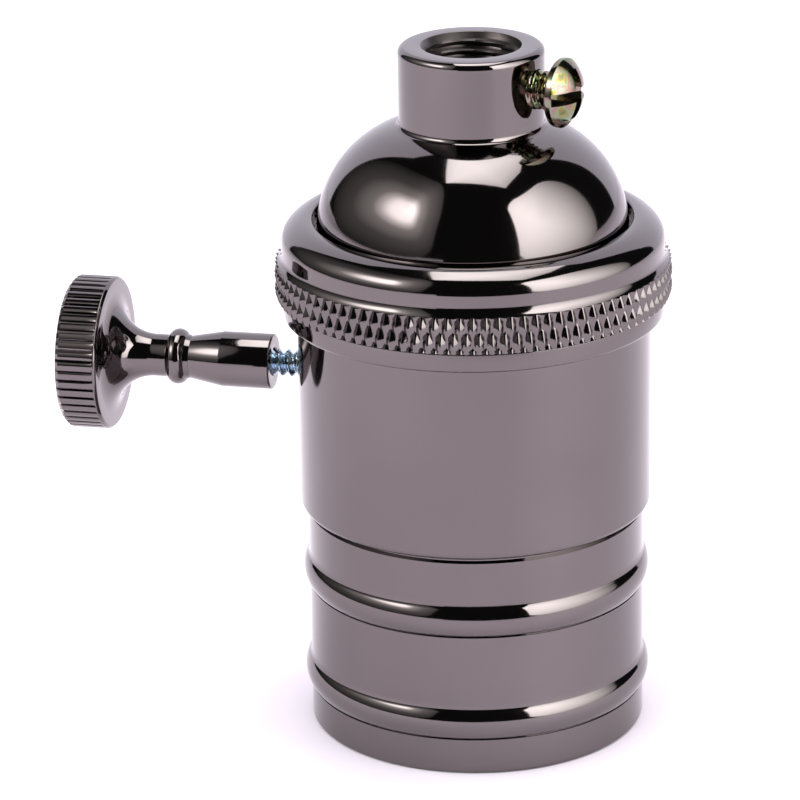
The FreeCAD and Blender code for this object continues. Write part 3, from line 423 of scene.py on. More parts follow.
nickelBrass = polishedMetal("nickelBrass", nickelBrassFinish)
springSteel = polishedMetal("springSteel", springSteelFinish)
porcelain = glazedPorcelain("porcelain", porcelainFinish)
rotorResin = mouldedResin("rotorResin", resinFinish)
print("materials made")


# Mesh helpers: outlines in millimetres, (radius, height)
sharpAngle = 32  # degrees; mesh edges that turn more stay sharp


def arcPoints(start, end, radius, steps):
    # anticlockwise from start to end where the radius is positive
    start, end = Vector(start), Vector(end)
    chord = end - start
    rise = math.sqrt(max(radius * radius - chord.length_squared / 4, 0))
    side = Vector((-chord.y, chord.x)).normalized() * math.copysign(rise, radius)
    centre = (start + end) / 2 + side
    first = math.atan2(start.y - centre.y, start.x - centre.x)
    last = math.atan2(end.y - centre.y, end.x - centre.x)
    sweep = (last - first) % (2 * math.pi) if radius > 0 else -((first - last) % (2 * math.pi))
    points = []
    for step in range(1, steps + 1):
        angle = first + sweep * step / steps
        points.append((centre.x + abs(radius) * math.cos(angle), centre.y + abs(radius) * math.sin(angle)))
    return points


def turnedArc(start, radius, first, last, steps):
    # an arc whose outward direction goes from first to last, in degrees above level
    first, last = math.radians(first), math.radians(last)
    centre = (start[0] - radius * math.cos(first), start[1] - radius * math.sin(first))
    angles = [first + (last - first) * step / steps for step in range(1, steps + 1)]
    return [(centre[0] + radius * math.cos(angle), centre[1] + radius * math.sin(angle)) for angle in angles]


def softened(corners, steps=4):
    # rounds each corner that carries a third value, its radius
    points = []
    count = len(corners)
    for index, corner in enumerate(corners):
        if len(corner) == 2:
            points.append(corner)
            continue
        here = Vector(corner[:2])
        before = Vector(corners[index - 1][:2]) - here
        after = Vector(corners[(index + 1) % count][:2]) - here
        half = before.angle(after) / 2
        reach = min(corner[2] / math.tan(half), before.length * 0.49, after.length * 0.49)
        radius = reach * math.tan(half)
        start = here + before.normalized() * reach
        end = here + after.normalized() * reach
        turnsLeft = before.x * after.y - before.y * after.x < 0
        points.append((start.x, start.y))
        points += arcPoints(start, end, radius if turnsLeft else -radius, steps)
    return points


def straight(start, end, spacing):
    # points from start towards end, without the first
    start, end = Vector(start), Vector(end)
    steps = max(1, round((end - start).length / spacing))
    return [tuple(start.lerp(end, step / steps)) for step in range(1, steps + 1)]


def lathe(name, outline, columns, push=None, transform=None, closed=True):
    # turns an outline round Z; push(angle, radius, height) moves a point along its radius
    made = bmesh.new()
    rows = []
    for radius, height in outline:
        ring = []
        for column in range(columns):
            angle = 2 * math.pi * column / columns
            reach = radius + (push(angle, radius, height) if push else 0)
            point = (reach * math.cos(angle) * mm, reach * math.sin(angle) * mm, height * mm)
            ring.append(made.verts.new(point))
        rows.append(ring)
    spans = len(rows) if closed else len(rows) - 1
    for row in range(spans):
        low, high = rows[row], rows[(row + 1) % len(rows)]
        for column in range(columns):
            after = (column + 1) % columns
            made.faces.new((low[column], low[after], high[after], high[column]))
    bmesh.ops.remove_doubles(made, verts=made.verts, dist=1e-8)
    bmesh.ops.recalc_face_normals(made, faces=made.faces)
    mesh = intoMesh(made, name)
    if transform:
        mesh.transform(transform)
    return addObject(name, smoothed(mesh))


def smoothed(mesh, limit=sharpAngle):
    for polygon in mesh.polygons:
        polygon.use_smooth = True
    mesh.set_sharp_from_angle(angle=math.radians(limit))
    return mesh


def carve(piece, cutters):
    # cuts closed meshes out of a piece and keeps the result as plain mesh
    for cutter in cutters:
        tool = piece.modifiers.new("carve", "BOOLEAN")
        tool.operation = "DIFFERENCE"
        tool.solver = "EXACT"
        tool.object = cutter
    shown = piece.evaluated_get(bpy.context.evaluated_depsgraph_get())
    carved = bpy.data.meshes.new_from_object(shown)
    piece.modifiers.clear()
    piece.data = smoothed(carved)
    for cutter in cutters:
        bpy.data.objects.remove(cutter)


def boxCutter(low, high, transform=None):
    made = bmesh.new()
    size = Vector(high) - Vector(low)
    middle = (Vector(high) + Vector(low)) / 2
    place = Matrix.Translation(middle * mm) @ Matrix.Diagonal((*(size * mm), 1))
    bmesh.ops.create_cube(made, size=1.0, matrix=place)
    mesh = intoMesh(made, "cutter")
    if transform:
        mesh.transform(transform)
    return addObject("cutter", mesh)


def roundCutter(radius, start, end, transform):
    outline = [(0, start), (radius, start), (radius, end), (0, end)]
    return lathe("cutter", outline, 96, transform=transform, closed=False)


def dress(piece, material, body, slot, *replaced):
    piece.data.materials.clear()
    piece.data.materials.append(material)
    # long walls stay flat beside small roundings
    walls = piece.modifiers.new("flatWalls", "WEIGHTED_NORMAL")
    walls.keep_sharp = True
    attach(piece, body)
    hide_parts(*replaced)


def threadPhase(angle, height, pitch):
    return (height / pitch - angle / (2 * math.pi)) % 1


def threadWave(angle, height, pitch, gain=1.25, sink=0.12):
    # 0 at the thread's root, 1 at its crest; gain and sink flatten both a little
    wave = 1 - abs(threadPhase(angle, height, pitch) * 2 - 1)
    return min(max(wave * gain - sink, 0), 1)


def fade(value, start, end, soft):
    # 1 between start and end, falling to 0 over the soft length outside them
    inside = min(value - start, end - value)
    return min(max(inside / soft + 1, 0), 1)


def threadPush(part, wall, start, end, way):
    # cuts the part's thread into the wall of that radius; way is -1 outside a rod and 1 in a bore
    def push(angle, radius, height):
        if abs(radius - wall) > 1e-6:
            return 0
        depth = part["threadDepth"] * (1 - threadWave(angle, height, part["threadPitch"]))
        return way * depth * fade(height, start, end, part["threadEase"])

    return push


def alongShaft(height):
    # a piece's own Z runs out along -X at the shaft's height
    return Matrix.Translation((0, 0, height * mm)) @ Matrix.Rotation(math.radians(-90), 4, "Y")


def alongScrew(capPart):
    # a piece's own Z runs out through the screw's hole in the neck
    place = Matrix.Translation((0, 0, (capPart["top"] - capPart["screwDrop"]) * mm))
    around = Matrix.Rotation(math.radians(capPart["screwAngle"]), 4, "Z")
    return place @ around @ Matrix.Rotation(math.radians(90), 4, "Y")


# Outer shell
shell = {
    "skirtRadius": 17.25,
    "radius": 18.0,
    "sheet": 0.8,
    "top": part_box("outer_shell")[1].z / mm,
    "stepHeight": 23.5,
    "stepRound": 0.7,
    "beadHeights": (5.45, 16.62),
    "beadHalf": 1.62,
    "beadRise": 0.58,
    "beadBlend": 0.5,
    "beadUnder": 0.35,  # tighter arc at a bead's foot, which ends in a crease
    "beadUnderTurns": (-66.0, -34.2),
    "beadGroove": (0.25, 0.17),  # depth and height of the crease below a bead
    "stepGroove": (0.42, 0.55),
    "rimRound": 0.45,
    "threadRadius": 17.75,
    "threadDepth": 0.28,
    "threadBottom": 44.4,
    "threadPitch": 1.0,
    "threadLead": 0.6,
    "threadStop": 0.3,
    "threadEase": 0.4,
    "notchHalf": 2.2,
    "notchReach": (10, 25),
    "shaftHeight": 37.0,
    "edge": 0.1,  # bevel at the thread's ends and at the top
    "skirtSpacing": 3,
    "wallSpacing": 4,
    "threadSpacing": 0.125,
    "underSteps": 5,
    "beadSteps": 22,
    "innerSteps": 12,
    "stepSteps": 6,
    "columns": 384,
}


def shellOutline(part):
    skirt, inner = part["skirtRadius"], part["skirtRadius"] - part["sheet"]
    half, rise = part["beadHalf"], part["beadRise"]
    arc = (half * half + rise * rise) / (2 * rise)
    innerArc = arc - part["sheet"]
    innerHalf = math.sqrt(innerArc**2 - (arc - rise - part["sheet"]) ** 2)
    rim = part["rimRound"]
    points = softened([(inner, 1), (inner, 0, rim), (skirt, 0, rim), (skirt, 1)])[1:-1]
    for middle in part["beadHeights"]:
        lowTurn, mainTurn = part["beadUnderTurns"]
        under = turnedArc((0, 0), part["beadUnder"], lowTurn, mainTurn, part["underSteps"])
        foot = middle - arc * math.sin(math.radians(-mainTurn)) - under[-1][1]
        deep, high = part["beadGroove"]
        points += straight(points[-1], (skirt, foot - high), part["skirtSpacing"])
        points += [(skirt - deep, foot - high), (skirt - deep, foot), (skirt, foot)]
        points += [(skirt + reach, foot + up) for reach, up in under]
        points += arcPoints(points[-1], (skirt, middle + half), arc, part["beadSteps"])
        points = points[:-1] + softBlend(points[-2:], skirt, part["beadBlend"])
    step = part["stepHeight"]
    deep, high = part["stepGroove"]
    outer, top, edge = part["radius"], part["top"], part["edge"]
    points += [(skirt, step - high - edge), (skirt, step - high)]
    points += [(skirt - deep, step - high), (skirt - deep, step)]
    stepRound = part["stepRound"]
    points += [(outer - stepRound, step)]
    points += arcPoints(points[-1], (outer, step + stepRound), stepRound, part["stepSteps"])
    points += straight(points[-1], (outer, part["threadBottom"]), part["wallSpacing"])
    points += [(part["threadRadius"], part["threadBottom"] + edge)]
    points += straight(points[-1], (part["threadRadius"], top - edge), part["threadSpacing"])
    upperInner = outer - part["sheet"]
    points += [(part["threadRadius"] - edge, top), (upperInner + edge, top), (upperInner, top - edge)]
    shoulder = step + part["sheet"]
    points += [(upperInner, shoulder), (inner, shoulder)]
    for middle in reversed(part["beadHeights"]):
        points += [(inner, middle + innerHalf)]
        points += arcPoints(points[-1], (inner, middle - innerHalf), -innerArc, part["innerSteps"])
    points += [(inner, part["rimRound"] + 0.4)]
    return points


def softBlend(lastTwo, radius, blend):
    # eases the bead's upper edge back into the wall, by shares of its slope and of the blend's height
    before, (_, height) = lastTwo
    slope = (before[0] - radius) / (height - before[1])
    shares = ((0.16, 0.1), (0.05, 0.5), (0, 1))
    return [(radius + slope * blend * out, height + blend * up) for out, up in shares]


def makeShell(part):
    start, end = part["threadBottom"] + part["threadLead"], part["top"] - part["threadStop"]
    push = threadPush(part, part["threadRadius"], start, end, -1)
    piece = lathe("shellSpun", shellOutline(part), part["columns"], push)
    near, far = part["notchReach"]
    half, height = part["notchHalf"], part["shaftHeight"]
    slot = boxCutter((-far, -half, height), (-near, half, part["top"] + 5))
    carve(piece, [slot, roundCutter(half, near, far, alongShaft(height))])
    dress(piece, blackNickel, "holder", "black_nickel", "outer_shell")


makeShell(shell)
print("shell made")


# Locking ring with its diamond knurl
ring = {
    "bottom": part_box("locking_ring")[0].z / mm,
    "skirtRadius": 19.35,
    "skirtHeight": 1.95,
    "skirtRound": 0.45,
    "grooveRadius": 19.2,
    "grooveHeight": 0.2,
    "peakRadius": 20.2,
    "knurlDepth": 0.5,
    "knurlHeight": 3.7,
    "knurlCells": 98,
    "diamondHeight": 3.2,
    "diamondOffset": 0.8,
    "diamondSteps": 8,
    "diamondSoftness": 5.0,  # lower is rounder along the ridges
    "tipRadius": 20.16,
    "coveHeight": 1.0,
    "coveReach": 0.42,
    "crownRadius": 19.41,
    "crownHeight": 0.95,
    "shoulderRadius": 2.05,
    "shoulderTurn": 46.0,  # degrees, where the shoulder eases into the top
    "topRadius": 3.4,
    "topTurn": 80.0,
    "mouthRadius": 16.2,
    "mouthRound": 0.25,
    "lipHeight": 8.5,
    "boreRadius": 17.83,
    "reliefRadius": 18.12,
    "reliefHeight": 1.4,
    "threadPitch": 1.0,
    "threadDepth": 0.2,
    "threadRise": 1.5,  # how far the thread runs on above the knurl
    "threadEase": 0.6,
    "threadSpacing": 0.25,
    "footRound": 0.1,
    "skirtTopRound": 0.08,
    "coveSteps": 10,
    "shoulderSteps": 18,
    "topSteps": 12,
    "mouthSteps": 6,
    "topRise": 0.05,
    "bandInset": 0.03,  # the turned core lies this far behind the knurl's valleys
    "diamondRoot": 0.06,  # and the knurl's rims reach this far in
    "sharpAngle": 34,
    "columns": 392,
}


def ringOutline(part):
    bottom = part["bottom"]
    skirtTop = bottom + part["skirtHeight"]
    bandBottom = skirtTop + part["grooveHeight"]
    bandTop = bandBottom + part["knurlHeight"]
    inset = part["bandInset"]
    core = part["peakRadius"] - part["knurlDepth"] - inset
    crown = part["crownRadius"]
    crownBottom = bandTop + part["coveHeight"]
    skirt, relief, groove = part["skirtRadius"], part["reliefRadius"], part["grooveRadius"]
    points = softened([
        (relief, bottom + 1),
        (relief, bottom, part["footRound"]),
        (skirt, bottom, part["skirtRound"]),
        (skirt, skirtTop, part["skirtTopRound"]),
        (groove, skirtTop),
    ])[1:]
    points += [(groove, bandBottom), (core, bandBottom + inset), (core, bandTop)]
    cove = (part["coveReach"] ** 2 + part["coveHeight"] ** 2) / (2 * part["coveReach"])
    points += [(crown + part["coveReach"], bandTop + 0.02)]
    points += arcPoints(points[-1], (crown, crownBottom), -cove, part["coveSteps"])
    points += [(crown, crownBottom + part["crownHeight"])]
    turn = part["shoulderTurn"]
    points += turnedArc(points[-1], part["shoulderRadius"], 0, turn, part["shoulderSteps"])
    points += turnedArc(points[-1], part["topRadius"], turn, part["topTurn"], part["topSteps"])
    mouth, top = part["mouthRadius"], points[-1][1] + part["topRise"]
    lipBottom = bottom + part["lipHeight"]
    corners = [points[-1], (mouth, top, part["mouthRound"]), (mouth, lipBottom)]
    points += softened(corners, part["mouthSteps"])[1:]
    points += [(part["boreRadius"], lipBottom)]
    reliefTop = bottom + part["reliefHeight"]
    points += straight(points[-1], (part["boreRadius"], reliefTop), part["threadSpacing"])
    points += [(relief, reliefTop)]
    return points, bandBottom, bandTop


def cutDiamonds(part, bandBottom, bandTop):
    # the knurl's pyramids, row by row, trimmed level with the band's two edges
    made = bmesh.new()
    valley = part["peakRadius"] - part["knurlDepth"]
    steps, soft = part["diamondSteps"], part["diamondSoftness"]
    halfWidth, halfHeight = math.pi / part["knurlCells"], part["diamondHeight"] / 2
    shares = [step / steps * 2 - 1 for step in range(steps + 1)]
    for row in range(-1, 4):
        height = bandBottom + part["diamondOffset"] + row * halfHeight
        for cell in range(part["knurlCells"]):
            middle = (2 * cell + row % 2) * halfWidth
            net = []
            for left in shares:
                line = []
                for right in shares:
                    slope = (abs(left) ** soft + abs(right) ** soft) ** (1 / soft)
                    radius = min(valley + part["knurlDepth"] * max(1 - slope, 0), part["tipRadius"]) * mm
                    angle = middle + (left - right) / 2 * halfWidth
                    up = (height + (left + right) / 2 * halfHeight) * mm
                    line.append(made.verts.new((radius * math.cos(angle), radius * math.sin(angle), up)))
                net.append(line)
            for a in range(steps):
                for b in range(steps):
                    made.faces.new((net[a][b], net[a + 1][b], net[a + 1][b + 1], net[a][b + 1]))
    bmesh.ops.remove_doubles(made, verts=made.verts, dist=1e-7)
    for level, way in ((bandBottom, -1), (bandTop, 1)):
        everything = made.verts[:] + made.edges[:] + made.faces[:]
        plane = {"plane_co": (0, 0, level * mm), "plane_no": (0, 0, way)}
        bmesh.ops.bisect_plane(made, geom=everything, clear_outer=True, **plane)
    # both rims are carried inward, behind the turned core
    rims = [edge for edge in made.edges if edge.is_boundary]
    inward = {}
    for edge in rims:
        for vert in edge.verts:
            if vert not in inward:
                share = (valley - part["diamondRoot"]) * mm / vert.co.xy.length
                inward[vert] = made.verts.new((vert.co.x * share, vert.co.y * share, vert.co.z))
    for edge in rims:
        first, second = edge.verts
        made.faces.new((first, second, inward[second], inward[first]))
    bmesh.ops.recalc_face_normals(made, faces=made.faces)
    everyFace = made.faces[:]
    if sum(face.normal.xy.dot(face.calc_center_median().xy) * face.calc_area() for face in everyFace) < 0:
        bmesh.ops.reverse_faces(made, faces=everyFace)
    return made


def makeRing(part):
    outline, bandBottom, bandTop = ringOutline(part)
    push = threadPush(part, part["boreRadius"], bandBottom, bandTop + part["threadRise"], 1)
    piece = lathe("ringKnurled", outline, part["columns"], push)
    diamonds = cutDiamonds(part, bandBottom, bandTop)
    turnedFaces = len(piece.data.polygons)
    diamonds.from_mesh(piece.data)
    diamonds.to_mesh(piece.data)
    diamonds.free()
    smoothed(piece.data, part["sharpAngle"])
    print("knurl faces:", len(piece.data.polygons) - turnedFaces)
    dress(piece, blackNickel, "ring", "black_nickel", "locking_ring")


makeRing(ring)
print("ring made")


# Dome cap with the tapped neck
cap = {
    "bottom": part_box("dome_cap")[0].z / mm,
    "top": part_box("dome_cap")[1].z / mm,
    "flangeRadius": 17.7,
    "flangeThickness": 1.4,
    "domeRise": 0.35,
    "domeCentre": 4.4,
    "domeRadius": 11.4,
    "wall": 1.0,
    "neckRadius": 7.37,
    "neckBlend": 0.6,
    "neckRound": 0.7,
    "boreRadius": 4.5,
    "boreChamfer": 0.6,
    "threadPitch": 1.0,
    "threadDepth": 0.42,
    "screwDrop": 3.7,
    "screwAngle": -16.5,
    "screwHole": 2.02,
    "screwReach": (2, 12),
    "flangeRound": 0.15,
    "mouthRound": 0.12,
    "threadLead": 0.2,
    "threadRise": 0.3,  # how far the thread runs up into the chamfer
    "threadEase": 0.3,
    "threadSpacing": 0.125,
    "domeSteps": 56,
    "innerSteps": 28,
    "columns": 320,
}


def capOutline(part):
    flangeTop = part["bottom"] + part["flangeThickness"]
    springing = flangeTop + part["domeRise"]
    outer = part["domeCentre"] + part["domeRadius"]
    innerArc = part["domeRadius"] - part["wall"]
    reach = part["neckRadius"] + part["neckBlend"] - part["domeCentre"]
    span = part["domeRadius"] + part["neckBlend"]
    rise = math.sqrt(span**2 - reach**2)
    share = part["domeRadius"] / span
    points = softened([
        (outer - part["wall"], part["bottom"]),
        (part["flangeRadius"], part["bottom"], part["flangeRound"]),
        (part["flangeRadius"], flangeTop, part["flangeRound"]),
        (outer, flangeTop, 0.1),
        (outer, springing),
    ])
    domeEnd = (part["domeCentre"] + reach * share, springing + rise * share)
    neck, top, bore = part["neckRadius"], part["top"], part["boreRadius"]
    points += arcPoints(points[-1], domeEnd, part["domeRadius"], part["domeSteps"])
    points += arcPoints(points[-1], (neck, springing + rise), -part["neckBlend"], 8)
    points += [(neck, top - part["neckRound"])]
    points += arcPoints(points[-1], (neck - part["neckRound"], top), part["neckRound"], 10)
    mouth = bore + part["boreChamfer"]
    points += softened([points[-1], (mouth, top, part["mouthRound"]), (bore, top - part["boreChamfer"])])[1:]
    boreEnd = springing + math.sqrt(innerArc**2 - (bore - part["domeCentre"]) ** 2)
    points += straight(points[-1], (bore, boreEnd), part["threadSpacing"])
    points += arcPoints(points[-1], (outer - part["wall"], springing), -innerArc, part["innerSteps"])
    return points, boreEnd


def makeCap(part):
    outline, boreEnd = capOutline(part)
    threadTop = part["top"] - part["boreChamfer"] + part["threadRise"]
    push = threadPush(part, part["boreRadius"], boreEnd + part["threadLead"], threadTop, 1)
    piece = lathe("capTurned", outline, part["columns"], push)
    carve(piece, [roundCutter(part["screwHole"], *part["screwReach"], alongScrew(part))])
    dress(piece, blackNickel, "cap", "black_nickel", "dome_cap")
    piece.data.materials.append(shadedBoreNickel)  # the bore's faces get a rougher nickel whose darker tone is painted shade in the hole
    reach = (part["boreRadius"] + part["boreChamfer"] - 0.02) * mm
    for polygon in piece.data.polygons:
        inBore = polygon.center.xy.length < reach and polygon.center.z > (boreEnd - 0.1) * mm
        polygon.material_index = 1 if inBore else 0


makeCap(cap)
print("cap made")


# Clamp screw
clampScrew = {
    "tip": 4.6,
    "length": 5.14,
    "radius": 1.95,
    "threadDepth": 0.3,
    "threadPitch": 0.7,
    "point": 0.4,
    "headRadius": 3.5,
    "headHeight": 2.35,
    "headEdge": 0.7,
    "slotHalf": 0.62,
    "slotDepth": 1.5,
    "crossReach": 2.5,
    "neckLength": 0.2,
    "neckRound": 0.1,
    "headRound": 0.25,
    "threadStop": 0.7,
    "threadEase": 0.4,
    "threadSpacing": 0.06,
    "crownSteps": 24,
    "columns": 128,
}


def makeClampScrew(part, capPart):
    under = part["tip"] + part["length"]
    top = under + part["headHeight"]
    dome = part["headHeight"] - part["headEdge"]
    crown = (part["headRadius"] ** 2 + dome**2) / (2 * dome)
    radius, threadStart = part["radius"], part["tip"] + part["point"]
    points = [(0, part["tip"]), (radius - part["point"], part["tip"]), (radius, threadStart)]
    points += straight(points[-1], (radius, under - part["neckLength"]), part["threadSpacing"])
    points += softened([
        (radius, under - part["neckLength"]),
        (radius, under, part["neckRound"]),
        (part["headRadius"], under, part["headRound"]),
        (part["headRadius"], under + part["headEdge"]),
    ])[1:]
    points += arcPoints(points[-1], (0, top), crown, part["crownSteps"])
    push = threadPush(part, radius, threadStart, under - part["threadStop"], -1)
    outward = alongScrew(capPart) @ Matrix.Rotation(math.radians(90), 4, "Z")
    piece = lathe("clampScrewTurned", points, part["columns"], push, transform=outward, closed=False)
    half, reach, slotFloor = part["slotHalf"], part["crossReach"], top - part["slotDepth"]
    slot = boxCutter((-5, -half, slotFloor), (5, half, top + 1), outward)
    cross = boxCutter((-half, -reach, slotFloor), (half, reach, top + 1), outward)
    carve(piece, [slot, cross])
    dress(piece, yellowZinc, "neck_screw", "yellow_zinc", "clamp_screw")


makeClampScrew(clampScrew, cap)
print("clamp screw made")


# Knob, turned along the shaft's line
knob = {
    "inner": 21.04,
    "barrelRadius": 2.87,
    "barrelLength": 5.3,
    "coneLength": 3.66,
    "waistRadius": 2.2,
    "waistLength": 3.6,
    "beadStart": 9.12,
    "beadWidth": 2.0,
    "beadRadius": 2.9,
    "flareRadius": 4.35,
    "headRadius": 7.93,
    "headLength": 4.4,
    "backEdge": 0.25,
    "frontEdge": 0.38,
    "fluteCount": 48,
    "fluteColumns": 12,
    "fluteDepth": 0.32,
    "fluteSpacing": 0.8,
    "landShare": 0.33,  # half of a land, as a share of the flute's pitch
    "flankShare": 0.08,
    "landCrown": 0.05,
    "fluteRest": 0.1,
    "boreRadius": 1.44,
    "boreLength": 9.0,
    "endRound": 0.2,
    "coneRound": 0.6,
    "backRound": 0.2,
    "rimRound": 0.12,
    "beadSteps": 20,
    "flareSteps": 24,
}


def knobOutline(part):
    inner = part["inner"]
    coneEnd = inner + part["barrelLength"] + part["coneLength"]
    beadStart = inner + part["beadStart"]
    half = part["beadWidth"] / 2
    rise = part["beadRadius"] - part["waistRadius"]
    beadArc = (half**2 + rise**2) / (2 * rise)
    flareStart = coneEnd + part["waistLength"]
    back = flareStart + part["flareRadius"]
    front = back + part["headLength"]
    bore, barrel = part["boreRadius"], part["barrelRadius"]
    waist, head = part["waistRadius"], part["headRadius"]
    points = softened([
        (bore, inner + 1),
        (bore, inner, 0.15),
        (barrel, inner, part["endRound"]),
        (barrel, inner + part["barrelLength"], part["coneRound"]),
        (waist, coneEnd, 0.05),
    ])[1:]
    beadEnd = (waist, beadStart + part["beadWidth"])
    points += arcPoints((waist, beadStart), beadEnd, beadArc, part["beadSteps"])
    points += [(waist, flareStart)]
    flare = part["flareRadius"]
    points += arcPoints(points[-1], (waist + flare, back), -flare, part["flareSteps"])
    points += softened([
        points[-1],
        (head - part["backEdge"], back, part["backRound"]),
        (head, back + part["backEdge"], part["rimRound"]),
        (head, front - 1),
    ])[1:-1]
    fluteStart = back + part["backEdge"] + part["fluteRest"]
    points += [(head, fluteStart - 0.03), (head, fluteStart + 0.12)]
    points += straight(points[-1], (head, front - part["frontEdge"]), part["fluteSpacing"])
    points += [(head - part["frontEdge"], front), (0, front)]
    points += [(0, inner + part["boreLength"]), (bore, inner + part["boreLength"])]
    return points, fluteStart


def makeKnob(part):
    outline, fluteStart = knobOutline(part)
    chamfer = part["headRadius"] - part["frontEdge"]
    land = part["landShare"]

    def push(angle, radius, height):
        if height < fluteStart + 0.1 or radius < chamfer + 0.01:
            return 0
        fromLand = 0.5 - abs((angle / (2 * math.pi) * part["fluteCount"]) % 1 - 0.5)
        groove = min(max((fromLand - land) / part["flankShare"], 0), 1)
        return -part["fluteDepth"] * groove - part["landCrown"] * (min(fromLand, land) / land) ** 2

    columns = part["fluteCount"] * part["fluteColumns"]
    piece = lathe("knobTurned", outline, columns, push, transform=alongShaft(shell["shaftHeight"]))
    dress(piece, blackNickel, "turn_knob", "black_nickel", "knob")


makeKnob(knob)
print("knob made")


# Threaded shaft
shaft = {
    "start": 1.92,
    "end": 30.02,
    "radius": 1.42,
    "threadPitch": 0.95,
    "threadDepth": 0.46,
    "point": 0.3,
    "threadEase": 0.3,
    "threadSpacing": 0.07,
    "columns": 72,
}


def makeShaft(part):
    start, end, radius, point = (part[key] for key in ("start", "end", "radius", "point"))
    points = [(0, start), (radius - point, start), (radius, start + point)]
    points += straight(points[-1], (radius, end - point), part["threadSpacing"])
    points += [(radius - point, end), (0, end)]
    push = threadPush(part, radius, start, end, -1)
    place = alongShaft(shell["shaftHeight"])
    piece = lathe("shaftThreaded", points, part["columns"], push, transform=place, closed=False)
    dress(piece, blueZinc, "turn_knob", "bright_zinc", "switch_shaft")


makeShaft(shaft)
print("shaft made")


# Lamp sleeve with its rolled thread
sleeve = {
    "bottom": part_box("screw_shell")[0].z / mm,
    "top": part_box("screw_shell")[1].z / mm,
    "root": 13.3,
    "crest": 12.25,
    "sheet": 0.4,
    "flangeInner": 9.0,
    "pitch": 3.63,
    "threadStart": 6.2,
    "threadEnd": 20.4,
    "threadEase": 1.2,
    "troughPower": 1.4,  # narrows the rolled troughs
    "flangeRest": 0.8,  # the thread keeps this far below the flange
    "shoulderRound": 0.45,
    "innerRound": 0.25,
    "flangeRound": 0.08,
    "rowSpacing": 0.3,
    "edge": 0.1,
    "columns": 192,
}


def makeSleeve(part):
    root, bottom, top, edge = (part[key] for key in ("root", "bottom", "top", "edge"))
    outer = root + part["sheet"]
    inset = top - part["sheet"]
    points = [(outer, bottom + edge)] + straight((outer, bottom), (outer, top - 0.5), part["rowSpacing"])
    points += softened([
        points[-1],
        (outer, top, part["shoulderRound"]),
        (part["flangeInner"], top, part["flangeRound"]),
        (part["flangeInner"], inset, part["flangeRound"]),
        (root, inset, part["innerRound"]),
        (root, inset - 1),
    ])[1:]
    points += straight(points[-1], (root, bottom + edge), part["rowSpacing"])
    points += [(root + edge, bottom), (outer - edge, bottom)]

    def push(angle, radius, height):
        if height > inset - part["flangeRest"] or height < bottom + edge / 2:
            return 0
        run = fade(height, part["threadStart"], part["threadEnd"], part["threadEase"])
        wave = 0.5 + 0.5 * math.cos(2 * math.pi * threadPhase(angle, height, part["pitch"]))
        return -(root - part["crest"]) * wave ** part["troughPower"] * run

    piece = lathe("sleeveRolled", points, part["columns"], push)
    dress(piece, nickelBrass, "holder", "nickel_brass", "screw_shell")


makeSleeve(sleeve)
print("sleeve made")


# Contact tongue: the CAD strip cut into rows between bendStart and bendEnd
tongue = {
    "bendStart": -4.6,
    "bendEnd": -1.8,
    "rows": 8,
}


def makeTongue(part):
    node = cadNodes["contact_tongue"]
    mesh = node.data.copy()
    mesh.transform(node.matrix_world)
    strip = bmesh.new()
    strip.from_mesh(mesh)
    start, end = part["bendStart"], part["bendEnd"]
    for row in range(part["rows"] + 1):
        everything = strip.verts[:] + strip.edges[:] + strip.faces[:]
        place = (0, (start + (end - start) * row / part["rows"]) * mm, 0)
        bmesh.ops.bisect_plane(strip, geom=everything, plane_co=place, plane_no=(0, 1, 0))
    strip.to_mesh(mesh)
    strip.free()
    mesh.materials.clear()
    mesh.materials.append(nickelBrass)
    piece = addObject("tongueSprung", mesh)
    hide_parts("contact_tongue")
    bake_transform(piece)


makeTongue(tongue)
print("tongue made")


# CAD nodes that keep their shape
keptNodes = {
    "ceramic_base": porcelain,
    "switch_housing": porcelain,
    "shell_rivets": brassTurned,
    "contact_button": brassTurned,
    "contact_rivet": brassTurned,
    "line_blade": nickelBrass,
    "load_blade": nickelBrass,
    "neutral_strap": nickelBrass,
    "switch_rotor": rotorResin,
    "rotor_bridge": brassTurned,
    "detent_spring": springSteel,
    "shaft_bush": brassTurned,
    "terminal_screws": blueZinc,
    "terminal_clamps": nickelBrass,
    "housing_screws": blueZinc,
}
for nodeName, material in keptNodes.items():
    for slot in cadNodes[nodeName].material_slots:
        slot.material = material
print("inner pieces dressed")


# Studio, as the dome mirrors it: pale floor and wall, a lit panel on each side and one overhead
studio = {
    "floorRadius": 1.7,
    "floorColour": (0.84, 0.78, 0.86),
    "floorDarker": 0.985,  # the floor's colour drifts down to this share of it
    "floorCloudScale": 3.0,
    "floorRoughness": 0.6,
    "floorSpecular": 0.1,
    "eyeHeight": 0.053,  # the panels' directions are counted from here on the axis
    "toCamera": cameraView["turn"] - 90.0,  # world azimuth of the way to the camera
    "darkRoom": 0.02,
    "skyFill": 1.2,
    "backdrop": 1.0,
}
